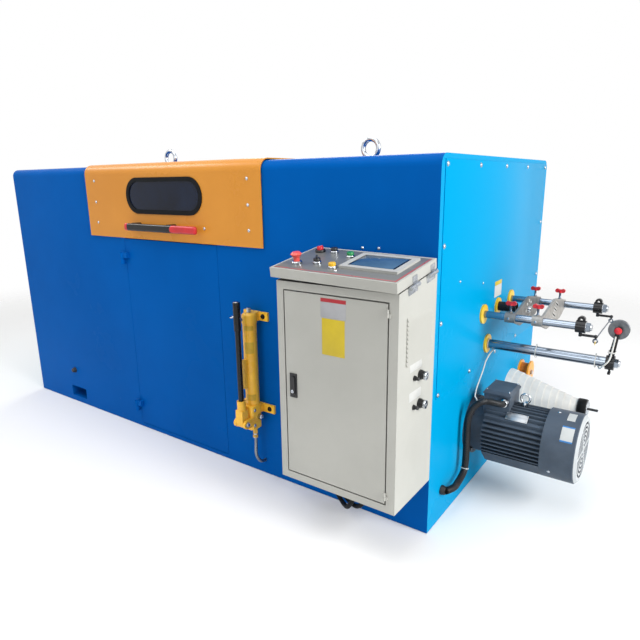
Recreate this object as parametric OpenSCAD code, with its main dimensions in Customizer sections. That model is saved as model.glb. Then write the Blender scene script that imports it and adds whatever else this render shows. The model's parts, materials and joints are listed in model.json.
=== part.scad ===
// Enclosed wire bunching machine: housing with a lifting hood, front door, control cabinet,
// hand pump, wire guide bars, drive motor.
// X runs along the length towards the motor end, the front faces -Y, Z is up from the floor.

/* [Housing] */
// Length of the housing
house_l = 2760; // [2400:10:3000]
// Depth of the housing from front to back
house_w = 1340; // [1200:10:1500]
// Height of the housing
house_h = 1400; // [1300:10:1500]
// Radius of the long top edges
edge_r = 40; // [30:1:50]
// Thickness of the panels
sheet = 6; // [5:1:8]
// Height of the base
base_h = 140; // [130:5:180]
// Width of a fork pocket
pocket_w = 150; // [120:5:180]
// Height of a fork pocket
pocket_h = 64; // [50:2:70]
// Underside of the fork pockets above the floor
pocket_z = 34; // [30:2:50]
// Distance of a fork pocket from the middle
pocket_x = 945; // [900:5:1000]
// Gap round the doors and under the hood
seam = 5; // [5:1:8]

/* [Lifting eyes] */
// Distance of a lifting eye from the middle
eye_x = 726; // [680:2:760]
// Outer radius of a lifting eye
eye_r = 54; // [45:1:58]
// Radius of the eye's round section
eye_wire = 12; // [9:1:14]
// Radius of the eye's collar
eye_collar_r = 32; // [26:1:36]
// Height of the eye's collar
eye_collar_h = 20; // [14:1:24]
// Outer radius of the motor's lifting eye
small_eye_r = 23; // [18:1:26]
// Radius of the motor eye's round section
small_eye_wire = 5; // [4:0.5:6]
// Radius of the motor eye's collar
small_collar_r = 13; // [10:1:15]
// Height of the motor eye's collar
small_collar_h = 16; // [12:1:20]

/* [Front door] */
// Width of the door
door_w = 660; // [600:5:720]
// Underside of the door above the floor
door_z = 24; // [20:1:40]
// Depth of the door's folded rim
door_t = 25; // [20:1:30]
// Thickness of the door sheet
door_skin = 4; // [3:1:6]
// Radius of the hinge barrels
barrel_r = 13; // [10:1:16]
// Length of a hinge, both halves
barrel_l = 56; // [50:2:70]
// Radius of the hinge pins
pin_r = 6; // [5:0.5:8]
// Play of a pin in its barrel
pin_play = 0.3; // [0.2:0.05:0.5]
// Gap between the halves of a hinge
barrel_gap = 1; // [0.5:0.1:2]
// Distance of the upper hinge's middle below the top of the door
hinge_drop = 99; // [80:1:130]
// Middle of the lower door hinge
hinge_low_z = 128; // [110:2:160]

/* [Hood] */
// Width of the hood
hood_w = 1222; // [1100:2:1300]
// Height of the hood's front, down from the top of the housing
hood_h = 354; // [320:2:400]
// Depth of the hood over the roof
hood_d = 640; // [560:5:700]
// Thickness of the hood sheet
hood_t = 4; // [3:1:6]
// Overlap of the hood on the housing round its opening
hood_lap = 30; // [20:1:40]
// Radius of the hood hinge knuckles
knuckle_r = 9; // [7:1:11]
// Radius of the hood hinge pins
knuckle_pin_r = 5; // [4:0.5:6]
// Length of one hood hinge
knuckle_l = 120; // [90:5:160]
// Distance of a hood hinge from the middle
knuckle_x = 450; // [380:5:520]
// Depth of the hood hinge's fixed leaf
leaf_d = 40; // [30:2:60]
// Width of the window
window_w = 535; // [480:5:580]
// Height of the window
window_h = 171; // [150:1:190]
// Distance of the window's middle below the top of the housing
window_drop = 145; // [135:1:160]
// Width of the rubber lip round the window
gasket_lip = 20; // [14:1:24]
// Width of the lip that covers the hood sheet
gasket_cover = 8; // [5:1:10]
// Depth of the lip in front of the hood
gasket_t = 5; // [3:1:7]

/* [Hood handle] */
// Length of the handle from end to end
handle_l = 510; // [440:5:560]
// Height of the handle's middle above the hood's lower edge
handle_up = 61; // [50:1:74]
// Distance of the handle's middle in front of the hood
handle_off = 36; // [30:1:45]
// Depth of the handle's oval bar
handle_d = 22; // [18:1:26]
// Height of the handle's oval bar
handle_h = 36; // [30:1:42]
// Width of a handle leg
leg_w = 40; // [30:1:50]
// Distance of the left leg's middle from the end of the handle
leg_in = 66; // [54:1:80]
// Length of the right grip
grip_l = 150; // [120:5:180]
// Length of the left end cap
grip_cap_l = 26; // [20:1:40]

/* [Control cabinet] */
// Width of the cabinet
cab_w = 478; // [440:2:520]
// Depth of the cabinet
cab_d = 275; // [240:5:320]
// Underside of the cabinet above the floor
cab_z = 229; // [200:1:260]
// Top of the cabinet's front above the floor
cab_top = 982; // [960:1:1000]
// Thickness of the cabinet sheet
cab_t = 3; // [2:0.5:4]
// Slope of the desk in degrees
desk_pitch = 8.5; // [4:0.5:14]
// Width of the cabinet door
cab_door_w = 407; // [380:1:420]
// Height of the cabinet door
cab_door_h = 688; // [650:2:700]
// Depth of the cabinet door's folded rim
cab_door_t = 20; // [15:1:25]
// Width of the cabinet's front frame at the hinge side
cab_frame = 38; // [30:1:45]
// Width of the cabinet's front frame below the door
cab_frame_low = 32; // [26:1:40]
// Radius of the cabinet door's hinge barrels
cab_barrel_r = 4; // [3:0.5:5]
// Radius of the cabinet door's hinge pins
cab_pin_r = 2; // [1.5:0.1:2.5]
// Height of one cabinet door hinge
cab_hinge_l = 26; // [20:2:40]
// Distance of the cabinet door hinges from the ends of the door
cab_hinge_off = 30; // [24:1:60]
// Width of the latch
latch_w = 30; // [26:1:36]
// Height of the latch
latch_h = 90; // [80:2:104]
// Thickness of the latch
latch_t = 9; // [6:1:12]
// Distance of the latch from the door's free edge
latch_in = 28; // [22:1:40]
// Middle of the latch above the floor
latch_z = 606; // [580:2:630]
// Width of the vent on the side
vent_w = 181; // [160:1:200]
// Height of the vent
vent_h = 162; // [140:2:180]
// Middle of the vent above the floor
vent_z = 819; // [800:1:840]
// Distance of the vent's middle from the housing
vent_y = 130; // [120:1:145]
// Depth of the louvre blades
vent_t = 8; // [5:1:10]
// Radius of a side socket
socket_r = 17; // [14:1:20]
// Length of a side socket
socket_l = 24; // [18:1:30]
// Height of the upper socket above the floor
socket_up_z = 680; // [660:1:700]
// Height of the lower socket above the floor
socket_low_z = 577; // [555:1:600]
// Distance of the sockets from the housing
socket_y = 112; // [100:1:125]
// Radius of the knob beside a socket
socket_knob_r = 9; // [7:0.5:12]
// Distance of the knob from its socket
socket_knob_y = 44; // [38:1:52]

/* [Desk lid] */
// Thickness of the desk lid
lid_t = 34; // [28:1:40]
// Overhang of the lid at the front and the free side
lid_over = 13; // [8:1:18]
// Gap between the lid and the housing
lid_back = 8; // [6:1:12]
// Angle that the lid rests ajar at its free side
lid_ajar = 1.2; // [0:0.1:2]
// Radius of the lid's hinge barrels
lid_barrel_r = 7; // [5:0.5:9]
// Radius of the lid's hinge pins
lid_pin_r = 3; // [2.5:0.5:4]
// Length of one lid hinge
lid_hinge_l = 62; // [50:2:70]
// Thickness of the lid's hinge leaves
lid_leaf_t = 3; // [2:0.5:4]
// Height of a lid hinge leaf
lid_leaf_h = 24; // [18:1:28]
// Distance of the front lid hinge from the cabinet's front
lid_hinge_front = 57; // [45:1:70]
// Distance of the rear lid hinge from the cabinet's front
lid_hinge_rear = 190; // [170:1:205]
// Width of the touch screen
screen_w = 217; // [190:1:230]
// Depth of the touch screen
screen_d = 165; // [150:1:175]
// Thickness of the touch screen above the lid
screen_t = 9; // [6:1:12]
// Width of the frame round the screen's glass
screen_frame = 20; // [14:1:26]
// Depth of the screen's glass below its frame
screen_sink = 2; // [1:0.5:3]
// Distance of the screen from the hinge side
screen_x = 38; // [30:1:50]
// Distance of the screen from the desk's front
screen_y = 62; // [50:1:70]
// Radius of a button's collar
button_r = 15; // [12:1:17]
// Height of a button's collar
button_h = 10; // [6:1:14]
// Radius of a button's cap
cap_r = 11; // [9:1:14]
// Height of a button's cap
cap_h = 9; // [6:1:16]
// Radius of the emergency stop's stem
stop_stem_r = 11; // [9:1:13]
// Height of the emergency stop's stem
stop_stem_h = 22; // [16:1:28]
// Radius of the emergency stop's head
stop_r = 20; // [16:1:24]
// Height of the emergency stop's head
stop_h = 20; // [14:1:26]

/* [Hand pump] */
// Distance of the pump from the middle of the housing
pump_x = 554; // [535:1:575]
// Distance of the pump barrel's middle in front of the housing
pump_off = 50; // [44:1:60]
// Radius of the pump barrel
pump_r = 30.5; // [27:0.5:34]
// Radius of the pump's cap
pump_cap_r = 33; // [30:1:37]
// Height of the pump's cap
pump_cap_h = 44; // [36:1:50]
// Radius of the cap's rounded edge
cap_round = 15; // [10:1:18]
// Underside of the pump's cap above the floor
pump_cap_z = 731; // [715:1:750]
// Width of the lever's rest on the barrel
rest_w = 14; // [10:1:18]
// Depth of the lever's rest
rest_d = 20; // [14:1:26]
// Length of the lever's rest
rest_l = 130; // [100:5:160]
// Underside of the lever's rest above the floor
rest_z = 445; // [430:5:470]
// Width of the pump block
block_w = 66; // [58:2:76]
// Depth of the pump block
block_d = 66; // [58:2:76]
// Underside of the pump block above the floor
block_z = 252; // [240:1:270]
// Height of the pump block
block_h = 108; // [96:2:124]
// Radius of the block's edges
block_round = 14; // [8:1:18]
// Distance of the block's middle in front of the barrel's middle
block_fwd = 10; // [6:1:14]
// Width of the upper pump foot
foot_up_w = 136; // [124:2:148]
// Width of the lower pump foot
foot_low_w = 176; // [160:2:190]
// Height of a pump foot
foot_h = 38; // [30:1:44]
// Thickness of a pump foot
foot_t = 10; // [8:1:14]
// Width of the web that joins a foot to the pump
foot_web = 44; // [36:1:50]
// Middle of the upper foot above the floor
foot_up_z = 754; // [742:1:756]
// Middle of the lower foot above the floor
foot_low_z = 332; // [315:1:345]
// Radius of a foot's bolt hole
foot_hole_r = 6; // [4:0.5:7]
// Distance of a bolt hole from the end of its foot
foot_hole_in = 26; // [20:1:32]
// Distance of the lever's pivot in front of the housing
pivot_off = 123; // [115:1:130]
// Height of the lever's pivot above the floor
pivot_z = 292; // [284:1:304]
// Radius of the lever's pivot pin
pivot_r = 6; // [5:0.5:8]
// Thickness of a pivot ear
ear_t = 12; // [9:1:15]
// Radius of a pivot ear
ear_r = 20; // [17:1:24]
// Width of the lever's socket
lever_socket_w = 40; // [34:1:46]
// Depth of the lever's socket
lever_socket_d = 36; // [32:1:42]
// Height of the lever's socket above its pivot
lever_socket_h = 105; // [90:1:118]
// Radius of the socket's neck
neck_r = 19; // [16:0.5:20]
// Side gap of the lever's socket between the ears
ear_gap = 1; // [0.5:0.1:2]
// Radius of the lever tube
lever_r = 12; // [10:0.5:14]
// Radius of the lever's sleeve
sleeve_r = 15.5; // [13:0.5:17]
// Length of the lever's sleeve
sleeve_l = 122; // [100:2:150]
// Top of the lever above the floor
lever_top = 833; // [800:1:870]
// Radius of the filler bolt
filler_r = 10; // [8:0.5:12]
// Height of the filler bolt
filler_h = 22; // [16:1:28]
// Radius of the relief valve's knob
valve_r = 12; // [9:0.5:14]
// Length of the relief valve's knob
valve_l = 14; // [10:1:20]
// Radius of the hose fitting
fitting_r = 10; // [8:0.5:12]
// Length of the hose fitting
fitting_l = 55; // [45:1:65]
// Sideways distance of the hose from the pump's middle
hose_side = 8; // [4:1:12]
// Radius of the hose
hose_r = 7; // [5:0.5:9]
// Height of the hose's panel inlet above the floor
hose_in_z = 67; // [60:1:75]

/* [Wire guide] */
// Height of the guide bars above the floor
bar_z = 767; // [750:1:780]
// Distance of a guide bar from the middle of the end panel
bar_y = 185; // [170:1:200]
// Radius of a guide bar
bar_r = 15; // [12:0.5:18]
// Length of the guide bars
bar_l = 400; // [360:5:440]
// Radius of a bar flange
flange_r = 41; // [36:1:46]
// Thickness of a bar flange
flange_t = 10; // [7:1:14]
// Radius of the wire inlet tube
inlet_r = 21; // [18:0.5:24]
// Bore radius of the wire inlet tube
inlet_bore = 16; // [12:0.5:18]
// Length of the wire inlet tube
inlet_l = 88; // [70:2:110]
// Radius of the wire inlet's flange
inlet_flange_r = 37; // [32:1:42]
// Distance of the hole plate from the end panel
plate_a = 133; // [125:1:140]
// Distance of the slot plate from the end panel
plate_b = 239; // [225:1:250]
// Thickness of the guide plates
plate_t = 9; // [6:1:12]
// Rise of a guide plate's peak above the bars
plate_rise = 58; // [50:1:66]
// Drop of a guide plate's flat edge below the bars
plate_drop = 46; // [38:1:52]
// Length of a guide plate's flat edge
plate_flat = 230; // [200:5:260]
// Radius of a plate collar
collar_r = 22; // [20:0.5:26]
// Length of a plate collar
collar_l = 36; // [28:1:44]
// Radius of the guide plate's middle hole
guide_hole_r = 12; // [8:0.5:14]
// Radius of the small plate holes
small_hole_r = 5; // [3:0.5:6]
// Radius of the ring of small plate holes
hole_ring_r = 38; // [34:1:42]
// Length of a plate slot
slot_l = 58; // [50:1:64]
// Width of a plate slot
slot_w = 7; // [5:0.5:9]
// Rise from slot to slot
slot_pitch = 20; // [17:1:22]
// Sideways step from slot to slot
slot_step = 19; // [12:1:22]
// Lean of the plate slots in degrees
slot_lean = 24; // [15:1:30]
// Radius of a wing knob's screw
knob_screw_r = 4; // [3:0.5:5]
// Length of a wing knob's screw
knob_screw_l = 34; // [26:1:40]
// Radius of the boss under a wing knob's screw
boss_r = 8; // [6:0.5:10]
// Height of the boss over its collar
boss_h = 3; // [2:0.5:5]
// Width of a wing knob
knob_w = 42; // [36:1:48]
// Height of a wing knob
knob_h = 18; // [14:1:22]
// Radius of a wing knob's hub
knob_hub_r = 8; // [6:0.5:10]
// Thickness of a wing knob
knob_t = 10; // [8:1:13]
// Distance of a bar clamp from the end panel
clamp_x = 363; // [345:1:375]
// Radius of a bar clamp
clamp_r = 24; // [20:0.5:28]
// Length of a bar clamp
clamp_l = 35; // [28:1:40]
// Height of a clamp's ear above the bar
clamp_ear = 41; // [36:1:46]
// Width of a clamp's ear
clamp_ear_w = 18; // [14:1:22]
// Radius of a clamp's ear hole
ear_hole_r = 5; // [3:0.5:6]
// Radius of the threaded bar end
thread_r = 12; // [10:0.5:14]
// Length of the threaded bar end
thread_l = 19; // [15:1:28]
// Drop of the hooks below the bar
hook_drop = 32; // [28:1:40]
// Reach of the hooks beyond the clamp
hook_l = 54; // [46:1:60]
// Radius of a hook
hook_r = 6; // [4:0.5:8]
// Radius of a hook's curl
curl_r = 10; // [8:0.5:13]
// Radius of the nuts on the bar ends
bar_nut_r = 18; // [16:0.5:21]
// Thickness of the nuts on the bar ends
bar_nut_t = 13; // [9:1:16]
// Radius of the break rod
rod_r = 2.5; // [2:0.1:4]
// Height of the lower bar above the floor
low_z = 622; // [600:1:640]
// Distance of the lower bar from the middle of the end panel
low_y = 115; // [100:1:130]
// Radius of the lower bar
low_r = 20; // [16:0.5:22]
// Length of the lower bar
low_l = 470; // [440:5:500]
// Radius of the lower bar's end clamp
low_clamp_r = 28; // [24:0.5:32]
// Length of the lower bar's end clamp
low_clamp_l = 30; // [24:1:36]
// Height of the guide wheel's axle above the floor
wheel_z = 753; // [735:1:765]
// Distance of the guide wheel's axle from the end panel
wheel_x = 500; // [485:1:515]
// Radius of the guide wheel
wheel_r = 37; // [32:0.5:42]
// Width of the guide wheel
wheel_w = 20; // [16:1:26]
// Depth of the guide wheel's groove
wheel_groove = 7; // [5:0.5:9]
// Radius of the guide wheel's axle
axle_r = 6; // [5:0.5:8]
// Width of the wheel's arm
arm_w = 22; // [18:1:26]
// Thickness of the wheel's arm
arm_t = 10; // [8:1:14]

/* [Spool and cone] */
// Distance of the spool from the middle of the end panel
spool_y = 475; // [465:1:485]
// Height of the spool's middle above the floor
spool_z = 322; // [310:1:335]
// Radius of the spool's flanges
spool_r = 60; // [50:1:64]
// Radius of the spool's drum
drum_r = 40; // [30:1:46]
// Length of the spool
spool_l = 56; // [48:1:64]
// Thickness of a spool flange
spool_t = 8; // [6:1:10]
// Distance of the cone from the middle of the end panel
cone_y = 294; // [285:1:300]
// Height of the cone's middle above the floor
cone_z = 254; // [245:1:260]
// Radius of the cone at the end panel
cone_big_r = 128; // [118:1:130]
// Radius of the cone at its tip
cone_tip_r = 36; // [32:1:40]
// Length of the cone
cone_l = 326; // [300:2:350]
// Height of a cone rib over the next band
cone_rib = 3; // [2:0.5:5]
// Radius of the cone's nut
nut_r = 43; // [38:1:48]
// Length of the cone's nut
nut_l = 42; // [34:1:50]
// Radius of the pin in the nut
nut_pin_r = 6; // [4:0.5:8]
// Length of the pin in the nut
nut_pin_l = 46; // [36:1:56]

/* [Motor] */
// Distance of the motor's axis in front of the middle of the end panel
motor_y = 220; // [205:1:235]
// Height of the motor's axis above the floor
motor_z = 287; // [275:1:300]
// Radius of the motor's flange
motor_flange_r = 125; // [118:1:132]
// Thickness of the motor's flange
motor_flange_t = 20; // [15:1:26]
// Radius of the motor's drive end
bell_r = 108; // [100:1:114]
// Distance of the finned frame from the end panel
frame_x = 77; // [70:1:84]
// Length of the finned frame
finned_l = 241; // [225:1:260]
// Radius of the frame under its fins
frame_r = 108; // [100:1:114]
// Radius over the fins
fin_r = 129; // [122:1:134]
// Thickness of a fin
fin_t = 5; // [3:0.5:7]
// Distance from fin to fin
fin_pitch = 18; // [15:0.5:21]
// Radius of the fan cover
cover_r = 138; // [132:1:144]
// Length of the fan cover
cover_l = 124; // [110:2:140]
// Thickness of the fan cover's sheet
cover_t = 3; // [2:0.5:4]
// Thickness of the end shield that carries the fan cover
shield_t = 8; // [6:1:12]
// Distance from ring to ring of the fan grille
grille_pitch = 17; // [15:0.5:19]
// Width of a slot of the fan grille
grille_w = 9; // [7:0.5:11]
// Width of a spoke of the fan grille
spoke_w = 9; // [7:0.5:12]
// Width of the frame's smooth underside
belly_w = 100; // [90:2:110]
// Width of the smooth underside where the fins begin
belly_top_w = 216; // [200:2:220]
// Drop of that place below the motor's axis
belly_drop = 66; // [58:1:74]
// Length of the terminal box along the motor
box_l = 104; // [92:1:114]
// Width of the terminal box
box_w = 136; // [120:1:150]
// Distance of the terminal box from the end panel
box_x = 63; // [56:1:72]
// Top of the terminal box above the axis
box_top = 193; // [185:1:200]
// Thickness of the terminal box's lid
box_lid_t = 18; // [14:1:24]
// Bevel of the terminal box's lid
box_bevel = 8; // [5:1:12]
// Overhang of the terminal box's lid
box_lid_over = 4; // [2:0.5:6]
// Distance of the motor's lifting eye from the end panel
motor_eye_x = 211; // [200:1:222]
// Radius of the conduit
conduit_r = 14; // [11:0.5:16]
// Distance of the conduit in front of the terminal box
conduit_out = 98; // [90:1:106]
// Radius of the cable gland
gland_r = 18; // [15:0.5:21]
// Length of the cable gland
gland_l = 20; // [15:1:26]

/* [Leads] */
// Radius of the cabinet's cables
cable_r = 9; // [6:0.5:11]
// Distance of the cables' way out of the cabinet from the end of the fork pocket
cable_away = 150; // [110:5:170]
// Radius of the sensor lead
lead_r = 3; // [2:0.5:4]

/* [Making] */
// Overrun of cuts
over = 2; // [1:0.5:4]
// Overlap of the parts of one piece where they join
bond = 0.3; // [0.2:0.1:0.5]
// Play between a bar and the ring round it
ring_play = 0.2; // [0.1:0.05:0.3]
// Gap between a cord's end and its seat
cord_gap = 0.8; // [0.3:0.1:0.9]

/* [Hidden] */
$fn = 48;

half_l = house_l / 2;
half_w = house_w / 2;
in_l = house_l - 2 * sheet;
in_w = house_w - 2 * sheet;
wall_top = house_h - edge_r;
hood_z = house_h - hood_h;
window_z = house_h - window_drop;
handle_z = hood_z + handle_up;
way_w = door_w + 2 * seam;
way_z = door_z - seam;
open_w = hood_w - 2 * hood_lap;
open_z = hood_z + hood_lap;
open_d = hood_d - 2 * hood_lap;
door_top = hood_z - seam;
hinge_up_z = door_top - hinge_drop;
hinge_x = -door_w / 2 - barrel_r;
hinge_y = -half_w - barrel_r - seam;
hood_face = half_w + seam + hood_t;
hood_top = house_h + seam + hood_t;
knuckle_y = -half_w + hood_d + knuckle_r;
knuckle_z = house_h + seam + knuckle_r;
cab_x = half_l - cab_w;
cab_front = -half_w - cab_d;
cab_back_top = cab_top + cab_d * tan(desk_pitch);
cab_door_x = half_l - cab_frame - cab_door_w;
cab_door_z = cab_z + cab_frame_low;
cab_axis_x = cab_door_x + cab_door_w + seam / 2;
cab_axis_y = cab_front - cab_barrel_r - barrel_gap;
pump_y = -half_w - pump_off;
block_back = pump_y - block_fwd + block_d / 2;
pivot_y = -half_w - pivot_off;
motor_axis = -motor_y;
cover_x = frame_x + finned_l;
cover_tip = cover_l / 10;
hook_ball_r = hook_r * 6 / 5;
// Places of the desk's controls as shares of its width from the hinge side and of its depth from the front
control_shares = [[0.592, 0.66], [0.57, 0.185], [0.778, 0.78], [0.741, 0.29], [0.905, 0.77]];
stop_shares = [0.885, 0.2];

function unit(v) = v / norm(v);
function blend(a, b, c, d, t) = (2 * b + (c - a) * t + (2 * a - 5 * b + 4 * c - d) * t * t
    + (3 * b - a - 3 * c + d) * t * t * t) / 2;
function smooth(p, n) = [for (i = [0:len(p) - 2], k = [0:n - 1])
    blend(p[max(i - 1, 0)], p[i], p[i + 1], p[min(i + 2, len(p) - 1)], k / n), p[len(p) - 1]];

module xcyl(r, h) {
    rotate([0, 90, 0]) cylinder(r = r, h = h);
}

module ycyl(r, h) {
    rotate([-90, 0, 0]) cylinder(r = r, h = h);
}

// Bar along X with an oval section, d deep and h high
module oval_bar(l, d, h) {
    translate([0, -d / 2, -(h - d) / 2]) cube([l, d, h - d]);
    for (s = [-1, 1]) translate([0, 0, s * (h - d) / 2]) xcyl(d / 2, l);
}

// Rounded end of an oval bar, its middle at x = 0
module oval_end(d, h) {
    translate([0, 0, -(h - d) / 2]) cylinder(r = d / 2, h = h - d);
    for (s = [-1, 1]) translate([0, 0, s * (h - d) / 2]) sphere(r = d / 2);
}

// Block with round upright edges, its middle at x = y = 0
module round_block(w, d, h, r) {
    translate([-w / 2 + r, -d / 2, 0]) cube([w - 2 * r, d, h]);
    translate([-w / 2, -d / 2 + r, 0]) cube([w, d - 2 * r, h]);
    for (x = [-1, 1], y = [-1, 1]) translate([x * (w / 2 - r), y * (d / 2 - r), 0]) cylinder(r = r, h = h);
}

// One round tube along a path, its rings square to the path
module tube(path, r, ref, sides = 10) {
    last = len(path) - 1;
    rings = [for (i = [0:last])
        let (t = unit(path[min(i + 1, last)] - path[max(i - 1, 0)]))
        let (a = unit(cross(t, ref)))
        let (b = cross(t, a))
        for (k = [0:sides - 1]) path[i] + r * cos(360 * k / sides) * a + r * sin(360 * k / sides) * b];
    start = [[for (k = [0:sides - 1]) k]];
    finish = [[for (k = [sides - 1:-1:0]) last * sides + k]];
    first = [for (i = [0:last - 1], k = [0:sides - 1])
        [i * sides + k, (i + 1) * sides + k, (i + 1) * sides + (k + 1) % sides]];
    second = [for (i = [0:last - 1], k = [0:sides - 1])
        [i * sides + k, (i + 1) * sides + (k + 1) % sides, i * sides + (k + 1) % sides]];
    polyhedron(points = rings, faces = concat(start, first, second, finish), convexity = 6);
}

// Plate in the front plane with round ends, t deep towards +Y
module stadium(w, h, t) {
    translate([-(w - h) / 2, 0, -h / 2]) cube([w - h, t, h]);
    for (s = [-1, 1]) translate([s * (w - h) / 2, 0, 0]) ycyl(h / 2, t);
}

module pockets() {
    for (s = [-1, 1]) translate([s * pocket_x - pocket_w / 2, -half_w - over, pocket_z])
        cube([pocket_w, house_w + 2 * over, pocket_h]);
}

module base_frame() color("#0a5cae") difference() {
    translate([-in_l / 2, -in_w / 2, 0]) cube([in_l, in_w, base_h]);
    pockets();
    translate([-way_w / 2, -half_w - over, way_z]) cube([way_w, door_t + seam + over, base_h]);
}

module front_panel() color("#0a5cae") difference() {
    translate([-in_l / 2, -half_w, 0]) cube([in_l, sheet, wall_top]);
    pockets();
    translate([-way_w / 2, -half_w - over, way_z]) cube([way_w, sheet + 2 * over, hood_z - way_z]);
    translate([-open_w / 2, -half_w - over, open_z]) cube([open_w, sheet + 2 * over, house_h]);
}

module back_panel() color("#0a5cae") difference() {
    translate([-in_l / 2, half_w - sheet, 0]) cube([in_l, sheet, wall_top]);
    pockets();
}

module end_plate(x) {
    translate([x, -half_w, 0]) cube([sheet, house_w, wall_top]);
    translate([x, -half_w + edge_r, 0]) cube([sheet, house_w - 2 * edge_r, house_h]);
    for (s = [-1, 1]) translate([x, s * (half_w - edge_r), wall_top]) xcyl(edge_r, sheet);
}

module left_end_panel() color("#0a5cae") end_plate(-half_l);

module right_end_panel() color("#0a8fe0") end_plate(half_l - sheet);

module roof_block(r, l) difference() {
    union() {
        translate([-l / 2, -half_w + edge_r, wall_top]) cube([l, house_w - 2 * edge_r, r]);
        for (s = [-1, 1]) translate([-l / 2, s * (half_w - edge_r), wall_top]) xcyl(r, l);
    }
    translate([-l / 2 - over, -half_w - over, wall_top - edge_r - over])
        cube([l + 2 * over, house_w + 2 * over, edge_r + over]);
}

module roof_panel() color("#0a5cae") difference() {
    roof_block(edge_r, in_l);
    roof_block(edge_r - sheet, in_l + 2 * over);
    translate([-open_w / 2, -half_w - over, wall_top - over])
        cube([open_w, open_d + over, edge_r + 2 * over]);
}

module eye(r, wire, collar_r, collar_h) {
    cylinder(r = collar_r, h = collar_h);
    translate([0, 0, r + collar_h / 2]) rotate([90, 0, 0]) rotate_extrude()
        translate([r - wire, 0]) circle(r = wire);
}

module lifting_eyes() color("#c8ccd0") {
    for (s = [-1, 1]) translate([s * eye_x, 0, house_h])
        eye(eye_r, eye_wire, eye_collar_r, eye_collar_h);
    translate([half_l + motor_eye_x, motor_axis, motor_z + fin_r])
        eye(small_eye_r, small_eye_wire, small_collar_r, small_collar_h);
}

// Fixed halves of the door hinges with their pins, and of the hood hinges
module panel_hinges() color("#0a5cae") {
    for (z = [hinge_low_z, hinge_up_z]) translate([hinge_x, hinge_y, z - barrel_l / 2]) {
        cylinder(r = barrel_r, h = barrel_l / 2 - barrel_gap / 2);
        cylinder(r = pin_r, h = barrel_l - barrel_gap);
        translate([-barrel_r, 0, 0]) cube([barrel_r * 3 / 2, barrel_r + seam, barrel_l / 2 - barrel_gap / 2]);
    }
    for (s = [-1, 1]) translate([s * knuckle_x, knuckle_y, knuckle_z]) {
        translate([-knuckle_l / 4, 0, 0]) xcyl(knuckle_r, knuckle_l / 2);
        translate([-knuckle_l / 2, 0, 0]) xcyl(knuckle_pin_r, knuckle_l);
        translate([-knuckle_l / 4, 0, -knuckle_r - seam]) cube([knuckle_l / 2, knuckle_r, knuckle_r + seam]);
        translate([-knuckle_l / 4, 0, -knuckle_r - seam]) cube([knuckle_l / 2, leaf_d, seam]);
    }
}

module front_door() color("#0a5cae") {
    difference() {
        translate([-door_w / 2, -half_w, door_z]) cube([door_w, door_t, door_top - door_z]);
        translate([-door_w / 2 + door_skin, -half_w + door_skin, door_z + door_skin])
            cube([door_w - 2 * door_skin, door_t, door_top - door_z - 2 * door_skin]);
    }
    for (z = [hinge_low_z, hinge_up_z]) translate([hinge_x, hinge_y, z + barrel_gap / 2]) difference() {
        union() {
            cylinder(r = barrel_r, h = barrel_l / 2 - barrel_gap / 2);
            translate([0, -door_skin, 0]) cube([3 * barrel_r, 2 * door_skin, barrel_l / 2 - barrel_gap / 2]);
            translate([barrel_r + door_skin, 0, 0])
                cube([2 * barrel_r - door_skin, barrel_r + seam + bond, barrel_l / 2 - barrel_gap / 2]);
        }
        translate([0, 0, -over]) cylinder(r = pin_r + pin_play, h = barrel_l);
    }
}

// Bent block under the hood's sheet, w wide
module hood_block(r, d, w) {
    translate([-w / 2, -half_w + edge_r - r, hood_z]) cube([w, r, wall_top - hood_z]);
    translate([-w / 2, -half_w + edge_r, hood_z]) cube([w, d, wall_top + r - hood_z]);
    translate([-w / 2, -half_w + edge_r, wall_top]) xcyl(r, w);
}

module hood_shell() color("#e0952f") {
    difference() {
        hood_block(edge_r + seam + hood_t, hood_d - edge_r - knuckle_r / 2, hood_w);
        translate([0, 0, -over]) hood_block(edge_r + seam, hood_d, hood_w + 2 * over);
        hood_block(edge_r + seam, hood_d, hood_w + 2 * over);
        translate([0, -hood_face - over, window_z])
            stadium(window_w - 2 * gasket_cover, window_h - 2 * gasket_cover, hood_t + 2 * over);
    }
    for (s = [-1, 1], e = [-1, 1]) translate([s * knuckle_x, knuckle_y, knuckle_z]) difference() {
        union() {
            translate([e > 0 ? knuckle_l / 4 + barrel_gap : -knuckle_l / 2, 0, 0])
                xcyl(knuckle_r, knuckle_l / 4 - barrel_gap);
            translate([e > 0 ? knuckle_l / 4 + barrel_gap : -knuckle_l / 2, -2 * knuckle_r, -knuckle_r])
                cube([knuckle_l / 4 - barrel_gap, 2 * knuckle_r, hood_t]);
        }
        translate([-knuckle_l / 2 - over, 0, 0]) xcyl(knuckle_pin_r + pin_play, knuckle_l + 2 * over);
    }
}

module window_gasket() color("#141516") translate([0, -hood_face, window_z]) {
    difference() {
        translate([0, -gasket_t, 0]) stadium(window_w, window_h, gasket_t);
        translate([0, -gasket_t - over, 0])
            stadium(window_w - 2 * gasket_lip, window_h - 2 * gasket_lip, gasket_t + 2 * over);
    }
    difference() {
        stadium(window_w - 2 * gasket_cover, window_h - 2 * gasket_cover, hood_t);
        translate([0, -over, 0])
            stadium(window_w - gasket_lip - gasket_cover, window_h - gasket_lip - gasket_cover,
                    hood_t + 2 * over);
    }
}

module window_glass() color("#20303c") translate([0, -hood_face, window_z])
    stadium(window_w - gasket_lip - gasket_cover, window_h - gasket_lip - gasket_cover, hood_t);

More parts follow.
